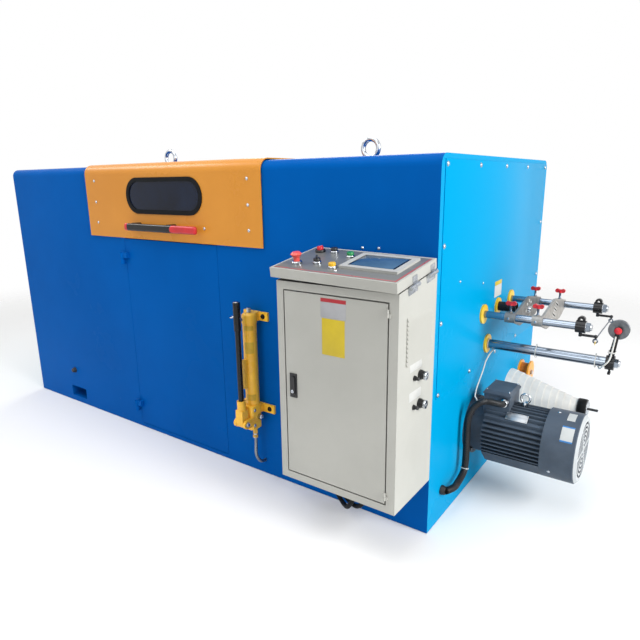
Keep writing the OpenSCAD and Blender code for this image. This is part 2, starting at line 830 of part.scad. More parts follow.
// Oval handle bar on two legs; the right grip meets it along a round edge
module hood_handle() color("#1a1b1d") translate([0, -hood_face - handle_off, handle_z]) {
    meet = handle_l / 2 - grip_l;
    difference() {
        translate([-handle_l / 2 + grip_cap_l, 0, 0])
            oval_bar(meet + handle_l / 2 - grip_cap_l, handle_d, handle_h);
        translate([meet, -handle_d, 0]) ycyl(handle_h / 2 + ring_play, 2 * handle_d);
    }
    for (x = [-handle_l / 2 + leg_in, meet - handle_h / 2 - leg_w / 2])
        translate([x, 0, handle_h / 5]) stadium(leg_w, handle_h * 3 / 4, handle_off);
}

module handle_grips() color("#c0202c") translate([0, -hood_face - handle_off, handle_z]) {
    meet = handle_l / 2 - grip_l;
    translate([-handle_l / 2 + handle_d / 2, 0, 0]) {
        oval_end(handle_d, handle_h);
        oval_bar(grip_cap_l - handle_d / 2, handle_d, handle_h);
    }
    translate([handle_l / 2 - handle_d / 2, 0, 0]) oval_end(handle_d, handle_h);
    translate([meet, 0, 0]) oval_bar(grip_l - handle_d / 2, handle_d, handle_h);
    intersection() {
        translate([meet - handle_h, 0, 0]) oval_bar(2 * handle_h, handle_d, handle_h);
        translate([meet, -handle_d, 0]) ycyl(handle_h / 2, 2 * handle_d);
    }
}

// Cabinet outline with its sloping top, inset by t
module cab_block(t) {
    rise = cab_back_top - cab_top;
    translate([cab_x + t, 0, 0]) rotate([90, 0, 90]) linear_extrude(cab_w - 2 * t)
        polygon([[cab_front + t, cab_z + t], [-half_w - t, cab_z + t], [-half_w - t, cab_back_top],
                 [cab_front + t, cab_top]]);
}

module cabinet_body() color("#d4d4cc") {
    difference() {
        cab_block(0);
        difference() {
            translate([0, 0, over]) cab_block(cab_t);
            translate([cab_x, cab_front, cab_z]) cube([cab_w, cab_d, cab_t]);
        }
        translate([cab_door_x - seam, cab_front - over, cab_door_z - seam])
            cube([cab_door_w + 2 * seam, cab_t + 2 * over, cab_door_h + 2 * seam]);
    }
    blades = 11;
    pitch = vent_h / blades;
    for (k = [0:blades - 1])
        translate([half_l - bond, -half_w - vent_y + vent_w / 2, vent_z - vent_h / 2 + k * pitch])
            rotate([90, 0, 0]) linear_extrude(vent_w) polygon([[0, 0], [vent_t, 0], [0, pitch]]);
    for (z = [cab_door_z + cab_hinge_off, cab_door_z + cab_door_h - cab_hinge_off])
        translate([cab_axis_x, cab_axis_y, z - cab_hinge_l / 2]) {
            cylinder(r = cab_barrel_r, h = cab_hinge_l / 2);
            cylinder(r = cab_pin_r, h = cab_hinge_l);
            cube([2 * seam, cab_front - cab_axis_y + bond, cab_hinge_l / 2]);
        }
}

module cabinet_sockets() color("#2a2c30") {
    for (z = [socket_low_z, socket_up_z]) translate([half_l, -half_w - socket_y, z]) {
        xcyl(socket_r, socket_l / 3);
        xcyl(socket_r - seam / 2, socket_l);
        translate([0, -socket_knob_y, 0]) {
            xcyl(socket_knob_r, socket_l / 4);
            xcyl(socket_knob_r * 2 / 3, socket_l * 2 / 3);
        }
    }
}

module cabinet_cables() color("#17181a") {
    top = cab_z - cord_gap;
    mid = pocket_z + pocket_h / 2;
    drop = top - mid;
    mouth_y = -half_w - 2 * cable_r;
    for (s = [-1, 1]) {
        mouth_x = pocket_x + pocket_w / 2 - 4 * cable_r + s * cable_r * 5 / 3;
        x = pocket_x + pocket_w / 2 + cable_away + 2 * s * cable_r;
        y = -half_w - cab_d / 2 + 2 * s * cable_r;
        p = [[x, y, top], [x, y, top - drop / 3], [x - cable_away / 5, y + cable_r, mid + drop / 4],
             [(x + mouth_x) / 2, (y + mouth_y) / 2, mid - drop / 16],
             [mouth_x, mouth_y, mid], [mouth_x - cable_away / 3, -half_w + cab_d / 5, mid]];
        tube(smooth(p, 5), cable_r, [1, 0, 0.2]);
    }
}

module cabinet_door() color("#d4d4cc") {
    difference() {
        translate([cab_door_x, cab_front, cab_door_z]) cube([cab_door_w, cab_door_t, cab_door_h]);
        translate([cab_door_x + cab_t, cab_front + cab_t, cab_door_z + cab_t])
            cube([cab_door_w - 2 * cab_t, cab_door_t, cab_door_h - 2 * cab_t]);
    }
    half = cab_hinge_l / 2 - barrel_gap;
    for (z = [cab_door_z + cab_hinge_off, cab_door_z + cab_door_h - cab_hinge_off])
        translate([cab_axis_x, cab_axis_y, z + barrel_gap]) difference() {
            union() {
                cylinder(r = cab_barrel_r, h = half);
                translate([-2 * seam, 0, 0]) cube([seam * 3 / 2, cab_front - cab_axis_y + bond, half]);
                translate([-2 * seam, 0, 0]) cube([2 * seam, cab_pin_r, half]);
            }
            translate([0, 0, -over]) cylinder(r = cab_pin_r + pin_play, h = cab_hinge_l);
        }
}

// Swing handle lying in its plate
module cabinet_latch() color("#1a1b1d")
    translate([cab_door_x + latch_in + seam, cab_front - latch_t, latch_z]) rotate([0, 90, 0]) {
        translate([-latch_h / 2, latch_t / 2, -latch_w / 2]) cube([latch_h, latch_t / 2, latch_w]);
        stadium(latch_h * 4 / 5, latch_w * 3 / 5, latch_t / 2);
    }

// Places a piece on the cabinet's sloping top, hinge side at x = 0, y up the slope
module on_cabinet() {
    translate([half_l, cab_front, cab_top]) rotate([desk_pitch, 0, 0]) children();
}

// Places a piece on the lid as it rests, z = 0 on the lid's face
module on_lid() {
    on_cabinet() rotate([0, lid_ajar, 0]) translate([0, 0, seam + lid_t]) children();
}

lid_depth = (cab_d - lid_back) / cos(desk_pitch) + lid_over;
lid_axis = lid_barrel_r + lid_leaf_t / 2;

module desk_lid() color("#d4d4cc") on_lid() {
    difference() {
        translate([-cab_w - lid_over, -lid_over, -lid_t]) cube([cab_w + lid_over, lid_depth, lid_t]);
        translate([-cab_w - lid_over + cab_t, -lid_over + cab_t, -lid_t - over])
            cube([cab_w + lid_over - 2 * cab_t, lid_depth - 2 * cab_t, lid_t - cab_t + over]);
    }
}

module touch_screen() color("#3c4a56") on_lid() difference() {
    translate([-screen_x - screen_w, screen_y, 0]) cube([screen_w, screen_d, screen_t]);
    translate([-screen_x - screen_w + screen_frame, screen_y + screen_frame, screen_t - screen_sink])
        cube([screen_w - 2 * screen_frame, screen_d - 2 * screen_frame, screen_sink + over]);
}

// Collar with a round edge and a cap
module push_button(x, y) {
    edge = button_h / 3;
    translate([-x, y, 0]) {
        cylinder(r = button_r, h = button_h - edge);
        cylinder(r = button_r - edge, h = button_h);
        translate([0, 0, button_h - edge]) rotate_extrude() translate([button_r - edge, 0]) circle(r = edge);
        cylinder(r = cap_r, h = button_h + cap_h);
    }
}

module push_buttons() color("#8c9298") on_lid()
    for (c = control_shares) push_button(c[0] * cab_w, c[1] * cab_d);

module emergency_stop() color("#d02828") on_lid()
    translate([-stop_shares[0] * cab_w, stop_shares[1] * cab_d, 0]) {
        cylinder(r = stop_stem_r, h = stop_stem_h);
        translate([0, 0, stop_stem_h]) cylinder(r1 = stop_stem_r, r2 = stop_r, h = stop_h * 2 / 3);
        translate([0, 0, stop_stem_h + stop_h * 2 / 3])
            cylinder(r1 = stop_r, r2 = stop_r - stop_h / 3, h = stop_h / 3);
    }

// Fixed halves of the lid hinges with their pins
module lid_hinges() color("#a8acb0") on_cabinet()
    for (y = [lid_hinge_front, lid_hinge_rear]) translate([lid_axis, y, 0]) {
        ycyl(lid_barrel_r, lid_hinge_l / 2 - barrel_gap / 2);
        ycyl(lid_pin_r, lid_hinge_l);
        half = lid_hinge_l / 2 - barrel_gap / 2;
        translate([-lid_axis, 0, -lid_leaf_h]) cube([lid_leaf_t, lid_hinge_l, lid_leaf_h - lid_barrel_r]);
        translate([-lid_axis, 0, -lid_leaf_h]) cube([lid_leaf_t, half, lid_leaf_h]);
        translate([-lid_axis, 0, -lid_leaf_t]) cube([lid_axis, half, lid_leaf_t]);
    }

// Moving halves of the lid hinges, on the lid's side
module lid_leaves() color("#a8acb0") on_cabinet() {
    for (y = [lid_hinge_front, lid_hinge_rear])
        translate([lid_axis, y + lid_hinge_l / 2 + barrel_gap / 2, 0]) difference() {
            ycyl(lid_barrel_r, lid_hinge_l / 2 - barrel_gap / 2);
            translate([0, -over, 0]) ycyl(lid_pin_r + pin_play, lid_hinge_l);
        }
    rotate([0, lid_ajar, 0]) for (y = [lid_hinge_front, lid_hinge_rear])
        translate([0, y + lid_hinge_l / 2 + barrel_gap / 2, seam]) {
            cube([lid_leaf_t, lid_hinge_l / 2 - barrel_gap / 2, lid_leaf_h]);
            cube([lid_axis, lid_hinge_l / 2 - barrel_gap / 2, lid_leaf_t]);
        }
}

module pump_foot(z, w) {
    difference() {
        translate([pump_x - w / 2, -half_w - foot_t, z - foot_h / 2])
            cube([w, foot_t, foot_h]);
        for (s = [-1, 1]) translate([pump_x + s * (w / 2 - foot_hole_in), -half_w - foot_t - over, z])
            ycyl(foot_hole_r, foot_t + over);
    }
    translate([pump_x - foot_web / 2, pump_y, z - foot_h / 2])
        cube([foot_web, pump_off - foot_t + bond, foot_h]);
}

// Barrel with a round-edged cap, block with round edges, two feet, lever rest and pivot ears
module pump_body() color("#d7a532") {
    translate([pump_x, pump_y, block_z + block_h]) cylinder(r = pump_r, h = pump_cap_z - block_z - block_h);
    translate([pump_x, pump_y, pump_cap_z]) {
        cylinder(r = pump_cap_r, h = pump_cap_h - cap_round);
        cylinder(r = pump_cap_r - cap_round, h = pump_cap_h);
        translate([0, 0, pump_cap_h - cap_round]) rotate_extrude() translate([pump_cap_r - cap_round, 0])
            circle(r = cap_round);
    }
    translate([pump_x, block_back - block_d / 2, block_z])
        round_block(block_w, block_d, block_h, block_round);
    pump_foot(foot_low_z, foot_low_w);
    pump_foot(foot_up_z, foot_up_w);
    translate([pump_x - rest_w / 2, pump_y - pump_r - rest_d, rest_z])
        cube([rest_w, rest_d + pump_r / 4, rest_l]);
    for (s = [-1, 1]) difference() {
        translate([pump_x + s * (lever_socket_w / 2 + ear_gap + ear_t / 2) - ear_t / 2, pivot_y, pivot_z]) {
            xcyl(ear_r, ear_t);
            translate([0, 0, -ear_r]) cube([ear_t, block_back - block_d - pivot_y + block_round, 2 * ear_r]);
        }
        translate([pump_x - block_w, pivot_y, pivot_z]) xcyl(pivot_r + ring_play, 2 * block_w);
    }
}

module pump_fittings() color("#b8bcc0") {
    translate([pump_x, pump_y, pump_cap_z + pump_cap_h]) cylinder(r = filler_r, h = filler_h, $fn = 6);
    translate([pump_x + block_w / 2, pump_y, block_z + block_h / 2]) xcyl(valve_r, valve_l);
    translate([pump_x + hose_side, pump_y, block_z - fitting_l]) cylinder(r = fitting_r, h = fitting_l);
    translate([pump_x - lever_socket_w / 2 - ear_gap - ear_t, pivot_y, pivot_z])
        xcyl(pivot_r, lever_socket_w + 2 * ear_gap + 2 * ear_t);
}

module pump_hose() color("#6a6c6e") {
    low = block_z - fitting_l - cord_gap;
    drop = low - hose_in_z;
    x = pump_x + hose_side;
    side = x + drop / 12;
    wall = -half_w - cord_gap - hose_r / 8;
    bend = 8 * hose_r;
    p = [[x, pump_y, low], [x, pump_y, low - drop / 4], [x + drop / 24, wall - bend, hose_in_z + bend],
         [side, wall - bend * 7 / 8, hose_in_z + bend / 2], [side, wall - bend / 2, hose_in_z + bend / 8],
         [side, wall, hose_in_z]];
    tube(smooth(p, 5), hose_r, [1, 0, 0]);
}

module pump_lever() color("#1a1b1d") translate([pump_x, pivot_y, 0]) {
    top = pivot_z + lever_socket_h;
    translate([0, 0, top]) cylinder(r = lever_r, h = lever_top - top);
    translate([0, 0, lever_top - sleeve_l]) cylinder(r = sleeve_r, h = sleeve_l);
}

module lever_socket() color("#d7a532") translate([pump_x, pivot_y, pivot_z]) {
    difference() {
        union() {
            translate([-lever_socket_w / 2, -lever_socket_d / 2, 0])
                cube([lever_socket_w, lever_socket_d, lever_socket_h * 3 / 5]);
            translate([-lever_socket_w / 2, 0, 0]) xcyl(lever_socket_d / 2, lever_socket_w);
        }
        translate([-lever_socket_w, 0, 0]) xcyl(pivot_r + pin_play, 2 * lever_socket_w);
    }
    translate([0, 0, lever_socket_h / 2]) cylinder(r = neck_r, h = lever_socket_h / 2);
}

module bar_flanges() color("#f0c832") {
    for (s = [-1, 1]) translate([half_l, s * bar_y, bar_z]) xring(flange_r, bar_r + ring_play, flange_t);
    translate([half_l, 0, bar_z]) xring(inlet_flange_r, inlet_r + ring_play, flange_t);
    translate([half_l, -low_y, low_z]) xring(flange_r, low_r + ring_play, flange_t);
}

module xring(r, bore, h) difference() {
    xcyl(r, h);
    translate([-over, 0, 0]) xcyl(bore, h + 2 * over);
}

module guide_bars() color("#8e98a6") {
    for (s = [-1, 1]) translate([half_l, s * bar_y, bar_z]) {
        xcyl(bar_r, bar_l);
        xcyl(thread_r, bar_l + thread_l);
        translate([bar_l, 0, 0]) rotate([0, 90, 0]) cylinder(r = bar_nut_r, h = bar_nut_t, $fn = 6);
    }
    translate([half_l, -low_y, low_z]) {
        xcyl(low_r, low_l);
        xcyl(thread_r, low_l + low_clamp_l + thread_l);
        translate([low_l + low_clamp_l, 0, 0]) rotate([0, 90, 0])
            cylinder(r = bar_nut_r, h = bar_nut_t, $fn = 6);
    }
}

module wire_inlet() color("#1a1b1d") translate([half_l, 0, bar_z]) xring(inlet_r, inlet_bore, inlet_l);

// Peaked plate on the outer ends of two collars that ride on the bars; children are cut out of the plate
module guide_plate(x) {
    difference() {
        union() {
            translate([half_l + x - plate_t / 2, 0, bar_z]) rotate([90, 0, 90]) linear_extrude(plate_t)
                polygon([[-bar_y, -collar_r], [-plate_flat / 2, -plate_drop], [plate_flat / 2, -plate_drop],
                         [bar_y, -collar_r], [bar_y, collar_r], [0, plate_rise], [-bar_y, collar_r]]);
            for (s = [-1, 1]) translate([half_l + x - collar_l, s * bar_y, bar_z]) {
                xcyl(collar_r, collar_l + plate_t / 2);
                translate([collar_l / 2, 0, 0]) cylinder(r = boss_r, h = collar_r + boss_h);
            }
        }
        for (s = [-1, 1]) translate([half_l, s * bar_y, bar_z]) xcyl(bar_r + ring_play, x + collar_l);
        children();
    }
}

module hole_plate() color("#8a8c8e") guide_plate(plate_a) {
    translate([half_l, 0, bar_z]) xcyl(guide_hole_r, plate_a + collar_l);
    for (k = [0:7]) translate([half_l, hole_ring_r * cos(45 * k), bar_z + hole_ring_r * sin(45 * k)])
        xcyl(small_hole_r, plate_a + collar_l);
}

module slot_plate() color("#8a8c8e") guide_plate(plate_b)
    for (k = [-3:2:3]) translate([half_l, k * slot_step / 2, bar_z + k * slot_pitch / 2])
        rotate([-slot_lean, 0, 0]) translate([0, -slot_l / 2, -slot_w / 2])
            cube([plate_b + collar_l, slot_l, slot_w]);

// Thin screws with red wings of two round lobes
module wing_knobs() color("#e1283c")
    for (x = [plate_a, plate_b], s = [-1, 1])
        translate([half_l + x - collar_l / 2, s * bar_y, bar_z + collar_r + boss_h]) {
            cylinder(r = knob_screw_r, h = knob_screw_l);
            translate([0, 0, knob_screw_l - knob_h / 2]) cylinder(r = knob_hub_r, h = knob_h / 2);
            for (e = [-1, 1]) translate([e * (knob_w - knob_h) / 2, -knob_t / 2, knob_screw_l])
                ycyl(knob_h / 2, knob_t);
            translate([-(knob_w - knob_h) / 2, -knob_t / 2, knob_screw_l - knob_h / 3])
                cube([knob_w - knob_h, knob_t, knob_h * 2 / 3]);
        }

// Clamps with an ear, and hooks that end in a curl
module bar_clamps() color("#1c1d1f")
    for (s = [-1, 1]) translate([half_l + clamp_x, s * bar_y, bar_z]) {
        round_r = clamp_l * 2 / 5;
        xring(clamp_r, bar_r + ring_play, clamp_l);
        difference() {
            translate([clamp_l / 2, -clamp_ear_w / 2, clamp_ear - round_r]) ycyl(round_r, clamp_ear_w);
            translate([clamp_l / 2, -clamp_ear_w, clamp_ear - round_r]) ycyl(ear_hole_r, 2 * clamp_ear_w);
            translate([-over, 0, 0]) xcyl(bar_r + 2 * bond, clamp_l + 2 * over);
        }
        translate([clamp_l / 2, 0, -hook_drop]) {
            translate([0, 0, -hook_r]) cylinder(r = hook_r, h = hook_drop + hook_r - bar_r - 2 * bond);
            xcyl(hook_r * 5 / 6, hook_l);
            translate([hook_l, 0, 0]) sphere(r = hook_ball_r);
        }
    }

module break_rod() color("#b8bcc0")
    translate([half_l + clamp_x + clamp_l / 2 + hook_l, 0, bar_z - hook_drop - hook_ball_r - rod_r]) {
        translate([0, -bar_y - 2 * hook_r, 0]) ycyl(rod_r, 2 * bar_y + 4 * hook_r);
        for (s = [-1, 1]) translate([0, s * bar_y, -curl_r + rod_r]) rotate([90, 0, 0]) rotate_extrude()
            translate([curl_r - rod_r, 0]) circle(r = rod_r);
    }

// End clamp of the lower bar with its wing screw, tapered arm and wheel axle with a nut
module wheel_post() color("#1c1d1f") translate([half_l, -low_y, 0]) {
    mid = low_l + low_clamp_l / 2;
    root = low_z + low_clamp_r * 3 / 5;
    wing_z = low_z - low_clamp_r - knob_h;
    translate([low_l, 0, low_z]) xring(low_clamp_r, thread_r + ring_play, low_clamp_l);
    rotate([90, 0, 0]) linear_extrude(arm_t)
        polygon([[mid - arm_w / 2, root], [mid + arm_w / 2, root], [wheel_x + arm_w / 3, wheel_z],
                 [wheel_x - arm_w / 3, wheel_z]]);
    translate([wheel_x, -arm_t, wheel_z]) ycyl(arm_w * 2 / 3, arm_t);
    translate([wheel_x, 0, wheel_z]) ycyl(axle_r, seam + wheel_w + barrel_gap + axle_r);
    translate([wheel_x, seam + wheel_w + barrel_gap, wheel_z]) ycyl(axle_r * 2, axle_r);
    translate([mid, 0, wing_z]) cylinder(r = knob_screw_r, h = knob_h + low_clamp_r / 3);
    translate([mid - knob_t / 2, -knob_w / 4, wing_z]) cube([knob_t, knob_w / 2, knob_h / 2]);
}

module guide_wheel() color("#7c8288")
    translate([half_l + wheel_x, -low_y + seam, wheel_z]) rotate([-90, 0, 0]) difference() {
        cylinder(r = wheel_r, h = wheel_w);
        translate([0, 0, wheel_w / 2]) rotate_extrude()
            polygon([[wheel_r - wheel_groove, 0], [wheel_r + over, -wheel_w / 3],
                     [wheel_r + over, wheel_w / 3]]);
        translate([0, 0, -over]) cylinder(r = axle_r + pin_play, h = wheel_w + 2 * over);
    }

module wire_spool() color("#f0a830") translate([half_l, spool_y, spool_z]) {
    xcyl(spool_r, spool_t);
    xcyl(drum_r, spool_l);
    translate([spool_l - spool_t, 0, 0]) xcyl(spool_r, spool_t);
}

// Stepped bellows of conical bands, each with a rib at its outer end
module ribbed_cone() color("#e8e8e6") translate([half_l, cone_y, cone_z]) rotate([0, 90, 0]) {
    bands = 11;
    step = cone_l / bands;
    fall = (cone_big_r - cone_tip_r) / bands;
    rotate_extrude() polygon(concat([[0, 0]],
        [for (k = [0:bands - 1], e = [0, 1]) [cone_big_r - (k + e) * fall + e * cone_rib, (k + e) * step]],
        [[0, cone_l]]));
}

module cone_nut() color("#1c1d1f") translate([half_l + cone_l, cone_y, cone_z]) {
    xcyl(nut_r, nut_l);
    xcyl(nut_pin_r, nut_l + nut_pin_l);
}

module motor_body() color("#464f58") translate([half_l, motor_axis, motor_z]) {
    xcyl(motor_flange_r, motor_flange_t);
    xcyl(bell_r, frame_x);
    translate([frame_x, 0, 0]) xcyl(frame_r, finned_l);
    fins = floor(fin_r * 4 / 5 / fin_pitch);
    for (k = [-fins:fins]) intersection() {
        translate([frame_x, 0, 0]) xcyl(fin_r, finned_l);
        union() {
            translate([frame_x, k * fin_pitch - fin_t / 2, 0]) cube([finned_l, fin_t, fin_r]);
            if (k * fin_pitch > fin_t - belly_drop) translate([frame_x, -fin_r, k * fin_pitch - fin_t / 2])
                cube([finned_l, 2 * fin_r, fin_t]);
        }
    }
    translate([frame_x, 0, 0]) rotate([90, 0, 90]) linear_extrude(finned_l)
        polygon([[-belly_top_w / 2, -belly_drop], [-belly_w / 2, -fin_r], [belly_w / 2, -fin_r],
                 [belly_top_w / 2, -belly_drop]]);
    translate([cover_x - shield_t, 0, 0]) xcyl(cover_r, shield_t);
    box_low = frame_r * 3 / 4;
    translate([box_x, -box_w / 2, box_low]) cube([box_l, box_w, box_top - box_lid_t - box_low]);
    lid_l = box_l + 2 * box_lid_over;
    lid_w = box_w + 2 * box_lid_over;
    translate([box_x - box_lid_over, lid_w / 2, box_top - box_lid_t]) intersection() {
        rotate([90, 0, 0]) linear_extrude(lid_w) polygon([[0, 0], [lid_l, 0], [lid_l, box_lid_t / 3],
            [lid_l - box_bevel, box_lid_t], [box_bevel, box_lid_t], [0, box_lid_t / 3]]);
        translate([0, -lid_w, 0]) rotate([90, 0, 90]) linear_extrude(lid_l) polygon([[0, 0], [lid_w, 0],
            [lid_w, box_lid_t / 3], [lid_w - box_bevel, box_lid_t], [box_bevel, box_lid_t],
            [0, box_lid_t / 3]]);
    }
}

// Hollow sheet cover with a tapered end and a grille of ring slots between six spokes
module fan_cover() color("#50585f") translate([half_l + cover_x, motor_axis, motor_z]) difference() {
    union() {
        xcyl(cover_r, cover_l - cover_tip);
        translate([cover_l - cover_tip, 0, 0]) rotate([0, 90, 0])
            cylinder(r1 = cover_r, r2 = cover_r - cover_tip, h = cover_tip);
    }
    translate([-over, 0, 0]) xcyl(cover_r - cover_t, cover_l - cover_tip + over);
    translate([cover_l - cover_tip - bond, 0, 0]) rotate([0, 90, 0])
        cylinder(r1 = cover_r - cover_t, r2 = cover_r - cover_tip, h = cover_tip - cover_t + bond);
    difference() {
        for (k = [1:6]) translate([cover_l - cover_t - over, 0, 0])
            xring(k * grille_pitch + grille_w, k * grille_pitch, cover_t + 2 * over);
        for (k = [0:2]) rotate([60 * k, 0, 0])
            translate([cover_l - cover_t - 2 * over, -cover_r, -spoke_w / 2])
                cube([cover_t + 4 * over, 2 * cover_r, spoke_w]);
    }
}

module motor_conduit() color("#1a1b1d") {
    out = half_l + box_x + box_l - gland_l;
    side = motor_axis - box_w / 2;
    up = motor_z + box_top - box_lid_t - gland_r - seam;
    run = half_l + motor_flange_t + conduit_r + barrel_gap;
    front = side - conduit_out;
    low = motor_z - 8 * gland_l;
    far = side - 13 * gland_l;
    translate([out, side - gland_l, up]) ycyl(gland_r, gland_l);
    translate([half_l, far, low]) xcyl(gland_r, gland_l);
    p = [[out, side - gland_l + bond, up], [out - gland_l * 3 / 4, side - conduit_out / 2, up + gland_l / 2],
         [out - gland_l * 5 / 2, side - conduit_out * 3 / 4, up + gland_l],
         [out - 4 * gland_l, side - conduit_out * 5 / 6, up + gland_l / 4],
         [run + gland_l / 2, side - conduit_out * 19 / 20, up - gland_l * 5 / 4],
         [run, front, up - gland_l * 7 / 2], [run, front, motor_z], [run, front, motor_z - 5 * gland_l],
         [run, front - gland_l * 3 / 4, low + gland_l], [run, front - 4 * gland_l, low],
         [run, far + 2 * gland_l, low], [half_l + gland_l - bond, far, low]];
    tube(smooth(p, 4), conduit_r, [0.5, 0.1, 0.3]);
}

module sensor_lead() color("#d8d8d4") {
    up = motor_z + box_top - box_lid_t - box_l / 3;
    side = motor_axis - box_w / 2 - cord_gap;
    face = -low_y - arm_t - lead_r - cord_gap;
    mid = half_l + low_l + low_clamp_l / 2;
    tip = half_l + low_l;
    wrap = (low_r + lead_r + 2 * cord_gap) * 7 / 10;
    down = half_l + 2 * flange_t;
    p = [[half_l + wheel_x - arm_w / 4, face, wheel_z - arm_w],
         [mid + arm_w / 4, face - lead_r, (low_z + wheel_z) / 2],
         [mid, -low_y - low_clamp_r - 2 * lead_r, low_z + low_r],
         [tip - 2 * lead_r, -low_y - low_clamp_r - lead_r, low_z - low_r / 2],
         [tip - low_r, -low_y - low_r / 3, low_z - low_r * 7 / 5],
         [tip - low_r * 5 / 2, -low_y + low_r * 7 / 8, low_z - low_r * 19 / 20],
         [half_l + low_l / 2, -low_y + wrap, low_z - wrap],
         [down + 3 * flange_t, -low_y + wrap, low_z - wrap],
         [down + flange_t, -low_y + lead_r, low_z - low_r * 3 / 2],
         [down, -low_y - 2 * low_r, low_z - 3 * low_r],
         [down, -low_y - 4 * low_r, low_z - 5 * low_r],
         [half_l + box_x / 2, side - 2 * flange_t, up + low_r],
         [half_l + box_x + flange_t, side - 2 * flange_t, up],
         [half_l + box_x + flange_t, side, up]];
    tube(smooth(p, 3), lead_r, [1, 0.2, 0.1]);
}

base_frame();
front_panel();
back_panel();
left_end_panel();
right_end_panel();
roof_panel();
lifting_eyes();
panel_hinges();
front_door();
hood_shell();
window_gasket();
window_glass();
hood_handle();
handle_grips();
cabinet_body();
cabinet_sockets();
cabinet_cables();
cabinet_door();
cabinet_latch();
desk_lid();
touch_screen();
push_buttons();
emergency_stop();
lid_hinges();
lid_leaves();
pump_body();
pump_fittings();
pump_hose();
pump_lever();
lever_socket();
bar_flanges();
guide_bars();
wire_inlet();
hole_plate();
slot_plate();
wing_knobs();
bar_clamps();
break_rod();
wheel_post();
guide_wheel();
wire_spool();
ribbed_cone();
cone_nut();
motor_body();
fan_cover();
motor_conduit();
sensor_lead();
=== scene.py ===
"""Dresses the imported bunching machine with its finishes, fasteners, controls, cords, camera and stage."""
import json
import math

import bmesh
import bpy
from bpy.props import FloatProperty, FloatVectorProperty, PointerProperty
from mathutils import Matrix, Vector


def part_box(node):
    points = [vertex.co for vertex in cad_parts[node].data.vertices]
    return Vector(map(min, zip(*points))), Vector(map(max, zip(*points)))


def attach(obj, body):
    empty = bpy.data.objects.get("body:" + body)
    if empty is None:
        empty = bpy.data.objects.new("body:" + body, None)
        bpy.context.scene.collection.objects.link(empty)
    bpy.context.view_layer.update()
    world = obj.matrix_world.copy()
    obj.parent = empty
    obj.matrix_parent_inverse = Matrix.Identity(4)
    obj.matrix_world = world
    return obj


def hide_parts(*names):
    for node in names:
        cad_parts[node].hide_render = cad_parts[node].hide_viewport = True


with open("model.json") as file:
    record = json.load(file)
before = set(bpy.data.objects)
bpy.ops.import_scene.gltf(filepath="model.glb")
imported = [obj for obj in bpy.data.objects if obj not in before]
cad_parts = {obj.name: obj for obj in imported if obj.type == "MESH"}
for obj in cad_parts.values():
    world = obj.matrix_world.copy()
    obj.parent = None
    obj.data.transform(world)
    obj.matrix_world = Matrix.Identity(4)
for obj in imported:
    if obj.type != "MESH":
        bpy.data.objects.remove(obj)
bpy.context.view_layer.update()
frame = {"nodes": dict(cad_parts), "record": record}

bl_info = {
    "name": "Bunching machine dressing",
    "version": (1, 0, 0),
    "blender": (4, 5, 0),
    "location": "View3D > Sidebar > Buncher",
    "description": "Finishes, fasteners, controls, cords and stage of an enclosed wire bunching machine",
    "category": "Object",
}

MM = 0.001
X, Y, Z = range(3)
LOW, MIDDLE, HIGH = 0.0, 0.5, 1.0


def solid_at(node, axis, share):
    """Low face, middle or high face of a solid's box along one axis, in whole mm."""
    low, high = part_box(node)
    return float(round((low[axis] * (1 - share) + high[axis] * share) / MM))


def joint_at(name):
    """A point on a joint's axis, in mm."""
    joint = next(j for j in frame["record"]["behaviour"]["joints"] if j["name"] == name)
    return [round(v / MM, 3) for v in joint["pos_m"]]


# Faces, axes and sizes of the solids that the added pieces sit on, in mm
FRONT = solid_at("front_panel", Y, LOW)
END = solid_at("right_end_panel", X, HIGH)
HOOD = solid_at("hood_shell", Y, LOW)
CABINET = solid_at("cabinet_latch", Y, HIGH)
CAB_W = END - solid_at("cabinet_body", X, LOW)
CAB_D = FRONT - CABINET
LID_Z = joint_at("desk_lift")[Z]
LID_H = 39.0  # face of the lid above its hinge
MOTOR_Y, MOTOR_Z = solid_at("fan_cover", Y, MIDDLE), solid_at("fan_cover", Z, MIDDLE)
COVER_R = solid_at("fan_cover", Y, HIGH) - MOTOR_Y
PUMP_X, LEVER_Y, PIVOT_Z = joint_at("lever_stroke")
PUMP_Y = FRONT - 50.0  # middle of the pump's barrel
BAR_Y, BAR_Z = 185.0, solid_at("wire_inlet", Z, MIDDLE)
COLLARS = 115.0, 221.0  # along the upper bars, from the end panel
KNOB_Z = solid_at("wing_knobs", Z, LOW)
LOW_BAR_Y, LOW_BAR_Z = -115.0, 622.0
WHEEL_X, _, WHEEL_Z = joint_at("wheel_spin")
# Lean of the desk and opening of its lid at rest, in degrees
DESK_LEAN, LID_AJAR = 8.5, 1.2
# Edges of the added pieces that turn by more than this, in degrees, stay sharp
SHARP_TURN = 38

# Camera fitted to the housing's edges: place in metres, turns in degrees, lens and sensor in mm
EYE = 2.1184, -2.3909, 1.3169
YAW, PITCH, ROLL = 35.515, 14.314, -0.736
LENS, SENSOR = 30.79, 36.0
VIEW_END = 200
# Strength of the surroundings as light on the machine, and as seen straight or in a mirror
GLOW, SEEN_WHITE = 0.34, 1.0
# Floor in metres: its radius, where it starts and ends to fade, and how far it lies below the machine
FLOOR_R, FADE_START, FADE_END, FLOOR_DROP = 6.0, 2.6, 5.5, 0.002
# Lamps: place, target and width in metres, power in watts
LAMPS = {
    "key": ((6.0, -0.9, 2.7), (1.2, -0.2, 0.7), 3.0, 330),
    "top": ((0.2, -1.4, 4.6), (0.0, -0.4, 0.8), 4.0, 120),
    "fill": ((0.6, -6.4, 2.6), (0.2, -0.6, 0.7), 3.0, 75),
    "edge": ((-3.6, -1.6, 4.2), (0.0, -0.7, 1.3), 1.5, 50),
    "back": ((-2.5, 5.0, 4.0), (0.0, 0.0, 0.8), 4.0, 140),
}


